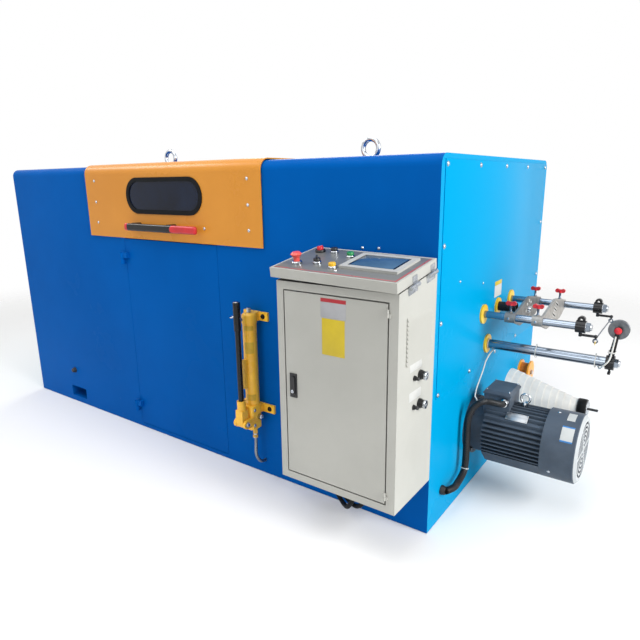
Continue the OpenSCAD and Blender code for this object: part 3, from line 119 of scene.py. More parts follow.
def linear(code):
    """sRGB hex to the linear values that the shader takes."""
    parts = [int(code[k:k + 2], 16) / 255 for k in (0, 2, 4)]
    return tuple(c / 12.92 if c <= 0.04045 else ((c + 0.055) / 1.055) ** 2.4 for c in parts)


def colour(name, code, about):
    """A colour for the panel, from sRGB hex."""
    return FloatVectorProperty(name=name, description=about, subtype="COLOR", size=3, min=0, max=1,
                               default=linear(code))


def length(name, mm, about):
    """A size for the panel, from mm."""
    return FloatProperty(name=name, description=about, default=mm * MM, min=0, unit="LENGTH")


class BuncherColours(bpy.types.PropertyGroup):
    """Colours of the finishes."""

    blue: colour("Housing blue", "035BAE", "Gloss enamel on the housing")
    blue_deep: colour("Housing blue, deeper", "0353A1", "Where the enamel lies thicker")
    # Painted light: the ends carry the front's enamel, and this lighter blue stands in for the stronger
    # light on them
    lit_end_blue: colour("End panel blue", "0091C3", "Painted light: the front's enamel as lit on the end panels")
    orange: colour("Hood orange", "D58F36", "Gloss enamel on the hood")
    orange_deep: colour("Hood orange, deeper", "CC862F", "Where the enamel lies thicker")
    yellow: colour("Pump yellow", "FCC640", "Enamel on the hand pump")
    yellow_deep: colour("Pump yellow, deeper", "F2B638", "Where the pump's enamel lies thicker")
    flange: colour("Flange yellow", "F2C72E", "Plastic-coated bar flanges")
    grey: colour("Cabinet grey", "B5B5AF", "Powder coat on the cabinet")
    slate: colour("Motor slate", "505A66", "Enamel on the motor")
    guard: colour("Fan guard", "B4B8BA", "Pale paint on the fan guard")
    red: colour("Signal red", "D2202C", "Knobs, grips and caps")
    green: colour("Start green", "1F8A4A", "Cap of the start button")
    amber: colour("Reset yellow", "E8B818", "Cap of the reset button")
    bobbin: colour("Spool orange", "F2A22C", "Moulded spool")
    white: colour("Cone white", "D9D6D0", "Moulded cone, cable ties and sensor lead")


class BuncherSizes(bpy.types.PropertyGroup):
    """Sizes of the added pieces."""

    screw: length("Panel screw", 7.0, "Head radius of the screws round the end panels")
    sheet: length("End cover", 2.0, "Thickness of the cover sheets on the ends")
    hood_screw: length("Hood screw", 5.5, "Head radius of the screws on the hood")
    tie: length("Cable tie", 1.6, "Half the thickness of a cable tie's band")
    ridge: length("Conduit ridge", 4.2, "Distance from ridge to ridge of the motor's conduit")
    thread: length("Bar thread", 3.0, "Pitch of the thread on the guide bars")
    edging: length("Door edging", 4.3, "Width of the edging round the door's opening")


def add(tree, kind, links=None, values=None, **settings):
    """Adds a node with its settings, its values and its links."""
    made = tree.nodes.new(kind)
    for key, value in settings.items():
        setattr(made, key, value)
    for key, value in (values or {}).items():
        made.inputs[key].default_value = value
    for key, source in (links or {}).items():
        tree.links.new(source, made.inputs[key])
    return made


MATERIALS = {}


def new_material(name):
    """An empty material, kept under its name."""
    made = bpy.data.materials.new(name)
    made.use_nodes = True
    made.node_tree.nodes.clear()
    MATERIALS[name] = made
    return made, made.node_tree


def end_colour(tree, where, shade, past_mm, tone):
    """Another colour on faces turned to the machine's ends, past a distance along it: on the housing this
    is painted light, on the motor the pale fan guard.
    """
    least_turn = 0.4
    place = add(tree, "ShaderNodeSeparateXYZ", {0: where.outputs["Object"]})
    out = add(tree, "ShaderNodeMath", {0: place.outputs[0]}, operation="ABSOLUTE")
    past = add(tree, "ShaderNodeMath", {0: out.outputs[0]}, {1: past_mm * MM}, operation="GREATER_THAN")
    facing = add(tree, "ShaderNodeSeparateXYZ", {0: where.outputs["Normal"]})
    turn = add(tree, "ShaderNodeMath", {0: facing.outputs[0]}, operation="ABSOLUTE")
    turned = add(tree, "ShaderNodeMath", {0: turn.outputs[0]}, {1: least_turn}, operation="GREATER_THAN")
    both = add(tree, "ShaderNodeMath", {0: past.outputs[0], 1: turned.outputs[0]}, operation="MULTIPLY")
    return add(tree, "ShaderNodeMix", {0: both.outputs[0], 6: shade.outputs[2]}, {7: (*tone, 1)},
               data_type="RGBA")


def coated(name, tone, deep, cloud_mm, grain_mm, raised, rough, spread, stretch=(1, 1, 1), beyond=None,
           **sockets):
    """Tone drifting into deep over cloud_mm, with a grain of grain_mm that stands up by raised mm.

    beyond gives a distance along the machine, in mm, and the colour of the end faces past it.
    """
    made, tree = new_material(name)
    where = add(tree, "ShaderNodeTexCoord")
    place = add(tree, "ShaderNodeMapping", {"Vector": where.outputs["Object"]}, {"Scale": stretch})
    cloud = add(tree, "ShaderNodeTexNoise", {"Vector": place.outputs[0]},
                {"Scale": 1000 / cloud_mm, "Detail": 5.0, "Roughness": 0.6})
    drift = add(tree, "ShaderNodeMapRange", {"Value": cloud.outputs[0]},
                {"From Min": 0.35, "From Max": 0.65})
    shade = add(tree, "ShaderNodeMix", {0: drift.outputs[0]}, {6: (*tone, 1), 7: (*deep, 1)},
                data_type="RGBA")
    if beyond:
        shade = end_colour(tree, where, shade, *beyond)
    grain = add(tree, "ShaderNodeTexNoise", {"Vector": place.outputs[0]},
                {"Scale": 1000 / grain_mm, "Detail": 2.0, "Roughness": 0.5})
    gloss = add(tree, "ShaderNodeMapRange", {"Value": cloud.outputs[0]},
                {"From Min": 0.3, "From Max": 0.7, "To Min": rough - spread, "To Max": rough + spread})
    bump = add(tree, "ShaderNodeBump", {"Height": grain.outputs[0]},
               {"Strength": 0.5, "Distance": raised * MM})
    links = {"Base Color": shade.outputs[2], "Roughness": gloss.outputs[0], "Normal": bump.outputs[0]}
    body = add(tree, "ShaderNodeBsdfPrincipled", links, sockets)
    add(tree, "ShaderNodeOutputMaterial", {"Surface": body.outputs[0]})
    return made


def braided(name, dark, bright, wire_mm, raised):
    """Crossed steel wires: two slanted wave patterns, one over the other."""
    lean = 0.9
    made, tree = new_material(name)
    where = add(tree, "ShaderNodeTexCoord")
    waves = []
    for turn in (lean, -lean):
        place = add(tree, "ShaderNodeMapping", {"Vector": where.outputs["Object"]},
                    {"Rotation": (0, turn, 0)})
        waves.append(add(tree, "ShaderNodeTexWave", {"Vector": place.outputs[0]},
                         {"Scale": 1000 / wire_mm, "Distortion": 0.4}))
    both = add(tree, "ShaderNodeMath", {0: waves[0].outputs[1], 1: waves[1].outputs[1]},
               operation="MAXIMUM")
    shade = add(tree, "ShaderNodeMix", {0: both.outputs[0]}, {6: (*dark, 1), 7: (*bright, 1)},
                data_type="RGBA")
    bump = add(tree, "ShaderNodeBump", {"Height": both.outputs[0]},
               {"Strength": 0.7, "Distance": raised * MM})
    links = {"Base Color": shade.outputs[2], "Normal": bump.outputs[0]}
    body = add(tree, "ShaderNodeBsdfPrincipled", links, {"Metallic": 0.9, "Roughness": 0.38})
    add(tree, "ShaderNodeOutputMaterial", {"Surface": body.outputs[0]})
    return made


def plastic(name, tone, deep, cloud_mm, rough):
    """Moulded plastic: even colour, fine grain, soft gloss."""
    return coated(name, tone, deep, cloud_mm, 3, 0.03, rough, 0.05, IOR=1.49)


def enamel(shine):
    """Sockets of a film of paint, with the level of its reflections."""
    return {"IOR": 1.5, "Specular IOR Level": shine}


def make_finishes():
    """Makes every finish once, from the colours of the panel."""
    paint = bpy.context.scene.buncher_colours
    metal = {"Metallic": 1.0}
    # Sprayed enamel on sheet steel: slight orange peel, deeper in places, the ends painted lighter for
    # their stronger light
    coated("blue_enamel", paint.blue, paint.blue_deep, 900, 9, 0.05, 0.26, 0.05,
           beyond=(END - 0.5, paint.lit_end_blue), **enamel(0.015))
    coated("orange_enamel", paint.orange, paint.orange_deep, 700, 9, 0.05, 0.28, 0.05, **enamel(0.25))
    # Brushed-on enamel over a rough casting: lumpy, half gloss
    coated("yellow_enamel", paint.yellow, paint.yellow_deep, 60, 5, 0.08, 0.24, 0.06, **enamel(0.4))
    # Dipped nylon coat on the bar flanges: even yellow, soft gloss
    coated("yellow_nylon", paint.flange, linear("E2B21E"), 40, 3, 0.04, 0.35, 0.06, IOR=1.48)
    # Enamel on cast iron and sheet: fine grain, satin, the fan guard pale
    coated("slate_enamel", paint.slate, linear("464F5A"), 120, 2.5, 0.08, 0.42, 0.06,
           beyond=(END + 433, paint.guard), **enamel(0.07))
    # Baked powder coat: even pebble grain, soft sheen
    coated("grey_powder_coat", paint.grey, linear("AEAEA8"), 350, 3, 0.06, 0.46, 0.05, **enamel(0.07))
    # Baked black paint on bars and brackets: deep, glossy
    coated("black_paint", linear("101113"), linear("18191C"), 40, 2.5, 0.03, 0.22, 0.05, **enamel(0.3))
    # Bright zinc and chrome plate: mirror with faint clouds
    coated("plated_steel", linear("C9CDD2"), linear("A4A9B0"), 18, 3, 0.02, 0.16, 0.05, **metal)
    # Ground bar, chromed with faint lines along it, or bare with lines round it: blue-grey mirror
    coated("chromed_bar", linear("8F99A5"), linear("7D8794"), 120, 2, 0.01, 0.18, 0.03, (0.3, 2, 2),
           **metal)
    coated("ground_steel", linear("6C7582"), linear("4C5563"), 120, 2, 0.015, 0.2, 0.05, (6, 0.5, 0.5),
           **metal)
    # Machined aluminium, cast or cut from plate: dull, open grain
    coated("cast_grey", linear("717478"), linear("5C5F63"), 25, 2, 0.05, 0.38, 0.08, Metallic=0.8)
    coated("dark_aluminium", linear("85827F"), linear("74726F"), 25, 2, 0.05, 0.4, 0.08, Metallic=0.5)
    coated("pale_aluminium", linear("A29E98"), linear("908C87"), 25, 2, 0.05, 0.4, 0.08, Metallic=0.5)
    # Moulded rubber: dull black, faint grain
    coated("black_rubber", linear("121314"), linear("1C1D1F"), 30, 2, 0.05, 0.55, 0.08, **enamel(0.07))
    # Moulded ABS and nylon: even colours, soft gloss
    plastic("red_plastic", paint.red, linear("B81C26"), 60, 0.3)
    plastic("pale_red_plastic", linear("E0564E"), linear("D84A44"), 30, 0.3)
    plastic("black_plastic", linear("141517"), linear("1E1F22"), 50, 0.42)
    plastic("green_plastic", paint.green, linear("1A7A40"), 20, 0.25)
    plastic("amber_plastic", paint.amber, linear("D9A812"), 20, 0.25)
    plastic("orange_plastic", paint.bobbin, linear("E39020"), 50, 0.32)
    plastic("white_plastic", paint.white, linear("C9C6C0"), 90, 0.4)
    # Glazed ceramic that the wires run over: smooth, off-white, bright edges
    coated("white_ceramic", linear("DEDCD6"), linear("D2D0CA"), 15, 4, 0.0, 0.18, 0.04, IOR=1.5)
    # Moulded frame of the display: pale, even, soft gloss
    plastic("screen_plastic", linear("B4B5B1"), linear("ABACA8"), 80, 0.4)
    # Insulated wire wound tight: fine turns round the spool
    coated("wound_wire", linear("C9781F"), linear("A65F16"), 12, 1.5, 0.1, 0.4, 0.08, (12, 1, 1), IOR=1.49)
    # Cover glass of the display, switched off: black edge; its field's teal is a painted reflection of the
    # sky
    coated("edge_glass", linear("14181D"), linear("1A2026"), 120, 40, 0.0, 0.12, 0.02, IOR=1.5)
    coated("screen_glass", linear("3A566E"), linear("4A6883"), 120, 40, 0.0, 0.09, 0.02, IOR=1.5)
    # Smoked acrylic: dark blue, mirror-smooth, a little light gets through
    coated("tinted_glass", linear("081226"), linear("142440"), 160, 60, 0.0, 0.06, 0.02,
           **{"IOR": 1.49, "Transmission Weight": 0.3, "Specular IOR Level": 0.12})
    # Polyester film on the desk: satin grey, faint streaks
    coated("polyester_film", linear("707270"), linear("676968"), 160, 2, 0.02, 0.36, 0.06, (0.3, 4, 4),
           IOR=1.5)
    # Brushed aluminium sheet: fine streaks along it
    coated("brushed_aluminium", linear("A6A9AC"), linear("8E9195"), 60, 2, 0.02, 0.34, 0.06, (0.2, 8, 8),
           Metallic=0.9)
    # Blank adhesive vinyl: even colours, satin
    plastic("white_vinyl", linear("C4C4C1"), linear("BCBDBA"), 60, 0.45)
    plastic("grey_vinyl", linear("A6A7AA"), linear("9C9DA0"), 60, 0.45)
    plastic("red_vinyl", linear("A81E2A"), linear("9A1A26"), 60, 0.45)
    plastic("yellow_vinyl", linear("C8B01C"), linear("BEA61A"), 70, 0.45)
    plastic("gold_vinyl", linear("D6AC2A"), linear("C29A24"), 30, 0.45)
    plastic("blue_vinyl", linear("2A7CC0"), linear("246EAC"), 40, 0.45)
    # Turned brass: warm mirror, faint clouds
    coated("brass", linear("C9A35A"), linear("A8823C"), 20, 2, 0.02, 0.28, 0.06, **metal)
    # Painted shade of a small hole: flat black, on the disc that stands for the hole
    coated("hole_shade_black", linear("0B0B0C"), linear("101112"), 20, 2, 0.02, 0.7, 0.05)
    # Steel braid over the hose: crossed bright wires, drawn coarse enough to show
    braided("braided_steel", linear("2E3032"), linear("9DA1A4"), 16, 0.8)


# Solids whose finish isn't named for their slot in the record
NODE_FINISH = {
    "bar_flanges": "yellow_nylon", "emergency_stop": "pale_red_plastic", "hole_plate": "dark_aluminium",
    "slot_plate": "pale_aluminium", "break_rod": "ground_steel", "guide_bars": "chromed_bar",
}


def lathe(profile, sides=32, closed=False):
    """Turns (radius, height) points in mm about Z."""
    made = bmesh.new()
    rings = []
    for r, h in profile:
        turn = [2 * math.pi * k / sides for k in range(sides)] if r else [0.0]
        rings.append([made.verts.new((r * math.cos(a), r * math.sin(a), h)) for a in turn])
    pairs = list(zip(rings, rings[1:])) + ([(rings[-1], rings[0])] if closed else [])
    for low, high in pairs:
        for k in range(sides):
            quad = [low[k % len(low)], low[(k + 1) % len(low)],
                    high[(k + 1) % len(high)], high[k % len(high)]]
            corners = list(dict.fromkeys(quad))
            if len(corners) > 2:
                made.faces.new(corners)
    bmesh.ops.recalc_face_normals(made, faces=made.faces)
    return made


def hoop(radius, wire, sides=40, around=12):
    """A round wire bent to a ring about Z."""
    turn = [2 * math.pi * k / around for k in range(around)]
    return lathe([(radius + wire * math.cos(a), wire * math.sin(a)) for a in turn], sides, closed=True)


def slab(w, d, h, edge, steps=2):
    """A plate w by d by h standing on z = 0, with its edges broken."""
    made = bmesh.new()
    bmesh.ops.create_cube(made, size=1)
    made.transform(Matrix.Translation((0, 0, h / 2)) @ Matrix.Diagonal((w, d, h, 1)))
    bmesh.ops.bevel(made, geom=made.edges, offset=edge, segments=steps, affect="EDGES", profile=0.5)
    return made


def blank(w, d, thick):
    """A bare plate, film or line of trim."""
    return slab(w, d, thick, 0.3)


def wrapped(r, t, start, end, low, high, steps=12):
    """A plate of thickness t bent round Z at radius r, start to end in degrees, low to high in mm."""
    made = bmesh.new()
    rows = []
    for k in range(steps + 1):
        a = math.radians(start + (end - start) * k / steps)
        rows.append([made.verts.new((q * math.cos(a), q * math.sin(a), h))
                     for q, h in ((r, low), (r + t, low), (r + t, high), (r, high))])
    for here, after in zip(rows, rows[1:]):
        for j in range(4):
            made.faces.new([here[j], here[(j + 1) % 4], after[(j + 1) % 4], after[j]])
    made.faces.new(rows[0][::-1])
    made.faces.new(rows[-1])
    bmesh.ops.recalc_face_normals(made, faces=made.faces)
    return made


def pan_head(r):
    """Pan head on a washer, with a recess sunk in the crown."""
    shares = ((0, 0), (1.3, 0), (1.3, 0.14), (1, 0.2), (1, 0.35), (0.86, 0.55), (0.55, 0.66), (0.3, 0.68),
              (0.22, 0.5), (0, 0.42))
    return lathe([(r * out, r * up) for out, up in shares], 24)


def hex_head(r, h):
    """Hexagon head on a washer, its crown chamfered."""
    head = lathe([(0, h * 0.18), (r, h * 0.18), (r, h * 0.82), (r * 0.84, h), (0, h)], 6)
    washer = lathe([(0, 0), (r * 1.25, 0), (r * 1.25, h * 0.16), (r * 1.18, h * 0.2), (0, h * 0.2)], 24)
    return [head, washer]


def tie_lock():
    """Head of a cable tie."""
    return slab(6, 7, 5, 1)


def sweep(points, radii, sides=16):
    """A tube through points, one radius for each, its rings carried along without twist."""
    made = bmesh.new()
    turn = [2 * math.pi * j / sides for j in range(sides)]
    last = len(points) - 1
    side = None
    rings = []
    for k, (here, r) in enumerate(zip(points, radii)):
        along = (points[min(k + 1, last)] - points[max(k - 1, 0)]).normalized()
        side = along.orthogonal() if side is None else side - along * side.dot(along)
        side.normalize()
        up = along.cross(side)
        rings.append([made.verts.new(here + r * (math.cos(a) * side + math.sin(a) * up)) for a in turn])
    for low, high in zip(rings, rings[1:]):
        for j in range(sides):
            made.faces.new([low[j], low[(j + 1) % sides], high[(j + 1) % sides], high[j]])
    made.faces.new(rings[0][::-1])
    made.faces.new(rings[-1])
    return made


def smooth(points, steps):
    """Curve through a route's points, the same that the solid follows."""
    points = [Vector(p) for p in points]
    last = len(points) - 1
    made = []
    for i in range(last):
        a, b, c, d = points[max(i - 1, 0)], points[i], points[i + 1], points[min(i + 2, last)]
        for k in range(steps):
            t = k / steps
            made.append((2 * b + (c - a) * t + (2 * a - 5 * b + 4 * c - d) * t * t
                         + (3 * b - a - 3 * c + d) * t ** 3) / 2)
    return made + [points[last]]


def evenly(route, step):
    """Points along a route, one every step mm."""
    points, left = [route[0]], 0.0
    for a, b in zip(route, route[1:]):
        span = (b - a).length
        t = step - left
        while t <= span:
            points.append(a.lerp(b, t / span))
            t += step
        left = span - (t - step)
    return points


FACING = {
    "+Z": Matrix.Identity(4),
    "-Z": Matrix.Rotation(math.pi, 4, "X"),
    "+X": Matrix.Rotation(math.pi / 2, 4, "Y"),
    "-X": Matrix.Rotation(-math.pi / 2, 4, "Y"),
    "-Y": Matrix.Rotation(math.pi / 2, 4, "X"),
    "+Y": Matrix.Rotation(-math.pi / 2, 4, "X"),
}


def at(x, y, z, facing="+Z"):
    """Place in mm that turns a piece's own Z to a side."""
    return Matrix.Translation((x, y, z)) @ FACING[facing]


def round_motor(x, rise, r):
    """Place on the motor's barrel, rise degrees up from its front, facing outwards."""
    return (at(END + x, MOTOR_Y, MOTOR_Z, "+X") @ Matrix.Rotation(math.radians(270 - rise), 4, "Z")
            @ at(r, 0, 0, "+X"))


def on_lid(x, y, z=0.0):
    """Place on the resting desk lid: x in from the hinge side, y back from the front, z above it."""
    return (Matrix.Translation((END, CABINET, LID_Z)) @ Matrix.Rotation(math.radians(DESK_LEAN), 4, "X")
            @ Matrix.Rotation(math.radians(LID_AJAR), 4, "Y") @ Matrix.Translation((-x, y, LID_H + z)))


def piece(name, parts, finish, body="machine", replaced=()):
    """Joins (mesh, place) pairs, given in mm, into one object with the given finish that rides on a body.
    """
    whole = bmesh.new()
    for mesh, place in parts:
        for one in mesh if isinstance(mesh, list) else [mesh]:
            copy = one.copy()
            copy.transform(Matrix.Scale(MM, 4) @ place)
            spare = bpy.data.meshes.new("spare")
            copy.to_mesh(spare)
            copy.free()
            whole.from_mesh(spare)
            bpy.data.meshes.remove(spare)
    data = bpy.data.meshes.new(name)
    whole.to_mesh(data)
    whole.free()
    for face in data.polygons:
        face.use_smooth = True
    data.set_sharp_from_angle(angle=math.radians(SHARP_TURN))
    data.materials.append(MATERIALS[finish])
    made = bpy.data.objects.new(name, data)
    bpy.context.scene.collection.objects.link(made)
    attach(made, body)
    if replaced:
        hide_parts(*replaced)
    return made


def cord_piece(name, route, steps, r, finish):
    """A round cord along a route in mm, as one open spline."""
    points = [p * MM for p in smooth(route, steps)]
    data = bpy.data.curves.new(name, "CURVE")
    data.dimensions = "3D"
    data.bevel_depth = r * MM
    data.bevel_resolution = 4
    data.use_fill_caps = True
    line = data.splines.new("POLY")
    line.points.add(len(points) - 1)
    for knot, p in zip(line.points, points):
        knot.co = (*p, 1)
    line.use_smooth = True
    data.materials.append(MATERIALS[finish])
    made = bpy.data.objects.new(name, data)
    bpy.context.scene.collection.objects.link(made)
    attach(made, "machine")
    run = sum((b - a).length for a, b in zip(points, points[1:]))
    return made, points, run


def set_camera(scene):
    """Camera at the photograph's place."""
    yaw, pitch, roll = (math.radians(a) for a in (YAW, PITCH, ROLL))
    ahead = Vector((-math.sin(yaw) * math.cos(pitch), math.cos(yaw) * math.cos(pitch), -math.sin(pitch)))
    flat = Vector((math.cos(yaw), math.sin(yaw), 0))
    lift = flat.cross(ahead)
    right = math.cos(roll) * flat + math.sin(roll) * lift
    up = -math.sin(roll) * flat + math.cos(roll) * lift
    lens = bpy.data.cameras.new("camera")
    lens.sensor_width = SENSOR
    lens.lens = LENS
    lens.clip_end = VIEW_END
    camera = bpy.data.objects.new("camera", lens)
    turn = Matrix((right, up, -ahead)).transposed()
    camera.matrix_world = Matrix.Translation(EYE) @ turn.to_4x4()
    scene.collection.objects.link(camera)
    scene.camera = camera


def set_world(scene):
    """White surroundings that light the machine softly."""
    world = bpy.data.worlds.new("studio")
    scene.world = world
    world.use_nodes = True
    tree = world.node_tree
    tree.nodes.clear()
    ray = add(tree, "ShaderNodeLightPath")
    seen = add(tree, "ShaderNodeMath", {0: ray.outputs["Is Camera Ray"], 1: ray.outputs["Is Glossy Ray"]},
               operation="MAXIMUM")
    seen = add(tree, "ShaderNodeMath", {0: seen.outputs[0], 1: ray.outputs["Is Transmission Ray"]},
               operation="MAXIMUM")
    level = add(tree, "ShaderNodeMapRange", {"Value": seen.outputs[0]},
                {"To Min": GLOW, "To Max": SEEN_WHITE})
    sky = add(tree, "ShaderNodeBackground", {"Strength": level.outputs[0]}, {"Color": (1, 1, 1, 1)})
    add(tree, "ShaderNodeOutputWorld", {"Surface": sky.outputs[0]})


def lay_floor(scene):
    """Pale floor that fades into the background, so no edge of it shows."""
    made, tree = new_material("pale_floor")
    where = add(tree, "ShaderNodeTexCoord")
    reach = add(tree, "ShaderNodeVectorMath", {0: where.outputs["Object"]}, operation="LENGTH")
    fade = add(tree, "ShaderNodeMapRange", {"Value": reach.outputs["Value"]},
               {"From Min": FADE_START, "From Max": FADE_END}, interpolation_type="SMOOTHSTEP")
    matt = add(tree, "ShaderNodeBsdfDiffuse", None, {"Color": (*linear("F6F6F5"), 1)})
    clear = add(tree, "ShaderNodeBsdfTransparent")
    both = add(tree, "ShaderNodeMixShader", {0: fade.outputs[0], 1: matt.outputs[0], 2: clear.outputs[0]})
    add(tree, "ShaderNodeOutputMaterial", {"Surface": both.outputs[0]})
    disc = bmesh.new()
    bmesh.ops.create_circle(disc, cap_ends=True, segments=96, radius=FLOOR_R)
    data = bpy.data.meshes.new("floor")
    disc.to_mesh(data)
    disc.free()
    data.materials.append(made)
    floor = bpy.data.objects.new("floor", data)
    floor.location.z = -FLOOR_DROP
    scene.collection.objects.link(floor)


def hang_lamps(scene):
    """Soft square lamps, each turned to its target."""
    for name, (place, target, size, power) in LAMPS.items():
        lamp = bpy.data.lights.new(name, "AREA")
        lamp.size = size
        lamp.energy = power
        holder = bpy.data.objects.new(name, lamp)
        holder.location = place
        holder.rotation_mode = "QUATERNION"
        holder.rotation_quaternion = (Vector(target) - Vector(place)).to_track_quat("-Z", "Y")
        scene.collection.objects.link(holder)


class BUNCHER_OT_stage(bpy.types.Operator):
    """Camera at the photograph's place, pale floor, soft lamps and world"""

    bl_idname = "buncher.stage"
    bl_label = "Camera and stage"

    def execute(self, context):
        context.scene.view_settings.view_transform = "Standard"
        set_camera(context.scene)
        set_world(context.scene)
        lay_floor(context.scene)
        hang_lamps(context.scene)
        return {"FINISHED"}


class BUNCHER_OT_finishes(bpy.types.Operator):
    """Gives every solid its finish"""

    bl_idname = "buncher.finishes"
    bl_label = "Finishes"

    def execute(self, context):
        make_finishes()
        slots = {p["node"]: p["material_slot"] for p in frame["record"]["subparts"]}
        for name, node in frame["nodes"].items():
            node.data.materials.clear()
            node.data.materials.append(MATERIALS[NODE_FINISH.get(name, slots[name])])
        return {"FINISHED"}


class BUNCHER_OT_cords(bpy.types.Operator):
    """Cabinet cables, pump hose and sensor lead"""

    bl_idname = "buncher.cords"
    bl_label = "Cords"

    def execute(self, context):
        cable_r, hose_r, lead_r = 9, 7, 3
        first = None
        for s, side in ((-1, "left"), (1, "right")):
            x, y, mouth = 1170 + 18 * s, -807.5 + 18 * s, 984 + 15 * s
            route = [(x, y, 228.2), (x, y, 174.133), (x - 30, y + 9, 106.55),
                     ((x + mouth) / 2, (y - 688) / 2, 55.8625), (mouth, -688, 66), (mouth - 50, -615, 66)]
            made, points, run = cord_piece(f"cabinet_cable_{side}", route, 5, cable_r, "black_rubber")
            first = first or made
        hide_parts("cabinet_cables")
        route = [(562, -720, 196.2), (562, -720, 163.9), (567.383, -727.675, 123), (572.767, -720.675, 95),
                 (572.767, -699.675, 74), (572.767, -671.675, 67)]
        made, points, run = cord_piece("pressure_hose", route, 5, hose_r, "braided_steel")
        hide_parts("pump_hose")
        route = [(1874.5, -128.8, 731), (1870.5, -131.8, 687.5), (1865, -149, 642), (1844, -146, 612),
                 (1830, -121.667, 594), (1800, -97.5, 603), (1615, -97.78, 604.78), (1430, -97.78, 604.78),
                 (1410, -112, 592), (1400, -155, 562), (1400, -195, 522), (1411.5, -308.8, 447.333),
                 (1453, -308.8, 427.333), (1453, -288.8, 427.333)]
        made, points, run = cord_piece("wire_sensor_lead", route, 3, lead_r, "white_plastic")
        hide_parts("sensor_lead")
        return {"FINISHED"}


class BUNCHER_OT_conduit(bpy.types.Operator):
    """Corrugated conduit of the motor with a nut at each end and its tie"""

    bl_idname = "buncher.conduit"
    bl_label = "Motor conduit"

    def execute(self, context):
        sizes = context.scene.buncher_sizes
        crest, trough = 14.0, 12.4
        route = [(1527, -307.7, 439), (1512, -337, 449), (1477, -361.5, 459), (1447, -369.667, 444),
                 (1425, -381.1, 414), (1415, -386, 369), (1415, -386, 287), (1415, -386, 187),
                 (1415, -401, 147), (1415, -466, 127), (1415, -508, 127), (1399.7, -548, 127)]
        points = evenly(smooth(route, 8), sizes.ridge / MM / 4)
        radii = [(crest, crest, trough, trough)[k % 4] for k in range(len(points))]
        nut = lathe([(0, 0), (19, 0), (19, 9), (17.5, 11), (17.5, 17), (15.5, 20), (0, 20)], 12)
        box_x, box_y, box_z = 1527, -288, 439
        panel_y, panel_z = -548, 127
        parts = [(sweep(points, radii, 18), Matrix.Identity(4)), (nut, at(END, panel_y, panel_z, "+X"))]
        piece("corrugated_conduit", parts, "black_plastic", replaced=["motor_conduit"])
        piece("box_nut", [(nut, at(box_x, box_y, box_z, "-Y"))], "plated_steel")
        band_r, lean = 15.2, -18
        middle = at(1415, -391, 160) @ Matrix.Rotation(math.radians(lean), 4, "X")
        parts = [(hoop(band_r, sizes.tie / MM, 40, 8), middle), (tie_lock(), middle @ at(11, -12, -2))]
        piece("conduit_tie", parts, "white_plastic")
        return {"FINISHED"}


class BUNCHER_OT_panel_screws(bpy.types.Operator):
    """Cover sheets on the ends, screws round them and on the front, the front's plug and a blank plate"""

    bl_idname = "buncher.panel_screws"
    bl_label = "End covers and screws"

    def execute(self, context):
        sizes = context.scene.buncher_sizes
        r, thick = sizes.screw / MM, sizes.sheet / MM
        cover_h, cover_w, cover_z = 844, 1280, 960
        sheet = slab(cover_h, cover_w, thick, 0.6)
        ends = [(sheet, at(END, 0, cover_z, "+X")), (sheet, at(-END, 0, cover_z, "-X"))]
        piece("end_covers", ends, "blue_enamel")
        top_z, side_y, foot_z = 1365, 627, 553
        spots = [(y, top_z) for y in (-625, -312, 0, 312, 625)]
        spots += [(s * side_y, z) for s in (-1, 1) for z in (1094, 822, 552)]
        spots += [(y, foot_z) for y in (-313, 5, 317)]
        head, small = pan_head(r), pan_head(r * 0.6)
        parts = [(head, at(END + thick, y, z, "+X")) for y, z in spots]
        parts += [(head, at(-END - thick, y, z, "-X")) for y, z in spots]
        parts += [(small, at(END + thick, y, z, "+X")) for y, z in ((-463, 947), (-207, 901))]
        parts += [(small, at(x, FRONT, z, "-Y")) for x, z in ((1085, 1076), (1153, 1078))]
        piece("panel_screws", parts, "plated_steel")
        plug_x, plug_z = -961, 208
        plug = [lathe([(0, 0), (17, 0), (17, 6), (15.5, 8), (0, 8)], 6),
                lathe([(0, 8), (13, 8), (13, 15), (10, 20), (5, 22), (0, 22)], 28)]
        piece("front_plug", [(plug, at(plug_x, FRONT, plug_z, "-Y"))], "black_plastic")
        plate_w, plate_h, band_h, plate_t = 92, 52, 18, 0.8
        plate = at(END + thick, -5, 845, "+X")
        piece("end_plate", [(blank(plate_h, plate_w, plate_t), plate @ at(8, 0, 0))], "white_vinyl",
              "machine")
        piece("end_plate_band", [(blank(band_h, plate_w, plate_t), plate @ at(-27.2, 0, 0))],
              "yellow_vinyl", "machine")
        return {"FINISHED"}


class BUNCHER_OT_door_edging(bpy.types.Operator):
    """Painted edging on the sheet round the door's opening"""

    bl_idname = "buncher.door_edging"
    bl_label = "Door edging"

    def execute(self, context):
        w = context.scene.buncher_sizes.edging / MM
        half, low, high, deep, sunk = 335, 19, 1046, 4.5, 0.7
        y = FRONT + sunk + deep / 2
        upright = slab(w, deep, high - low, 0.5)
        parts = [(upright, at(s * (half - w / 2), y, low)) for s in (-1, 1)]
        parts.append((slab(2 * half - 2 * w, deep, w / 2, 0.5), at(0, y, low)))
        piece("door_edging", parts, "blue_enamel")
        return {"FINISHED"}


class BUNCHER_OT_hood_screws(bpy.types.Operator):
    """Plated screws along the hood's edges"""

    bl_idname = "buncher.hood_screws"
    bl_label = "Hood screws"

    def execute(self, context):
        head = pan_head(context.scene.buncher_sizes.hood_screw / MM)
        spots = [(x, z) for x in (-532, 537) for z in (1328, 1222, 1117)] + [(270, 1114)]
        piece("hood_screws", [(head, at(x, HOOD, z, "-Y")) for x, z in spots], "plated_steel", "hood")
        return {"FINISHED"}


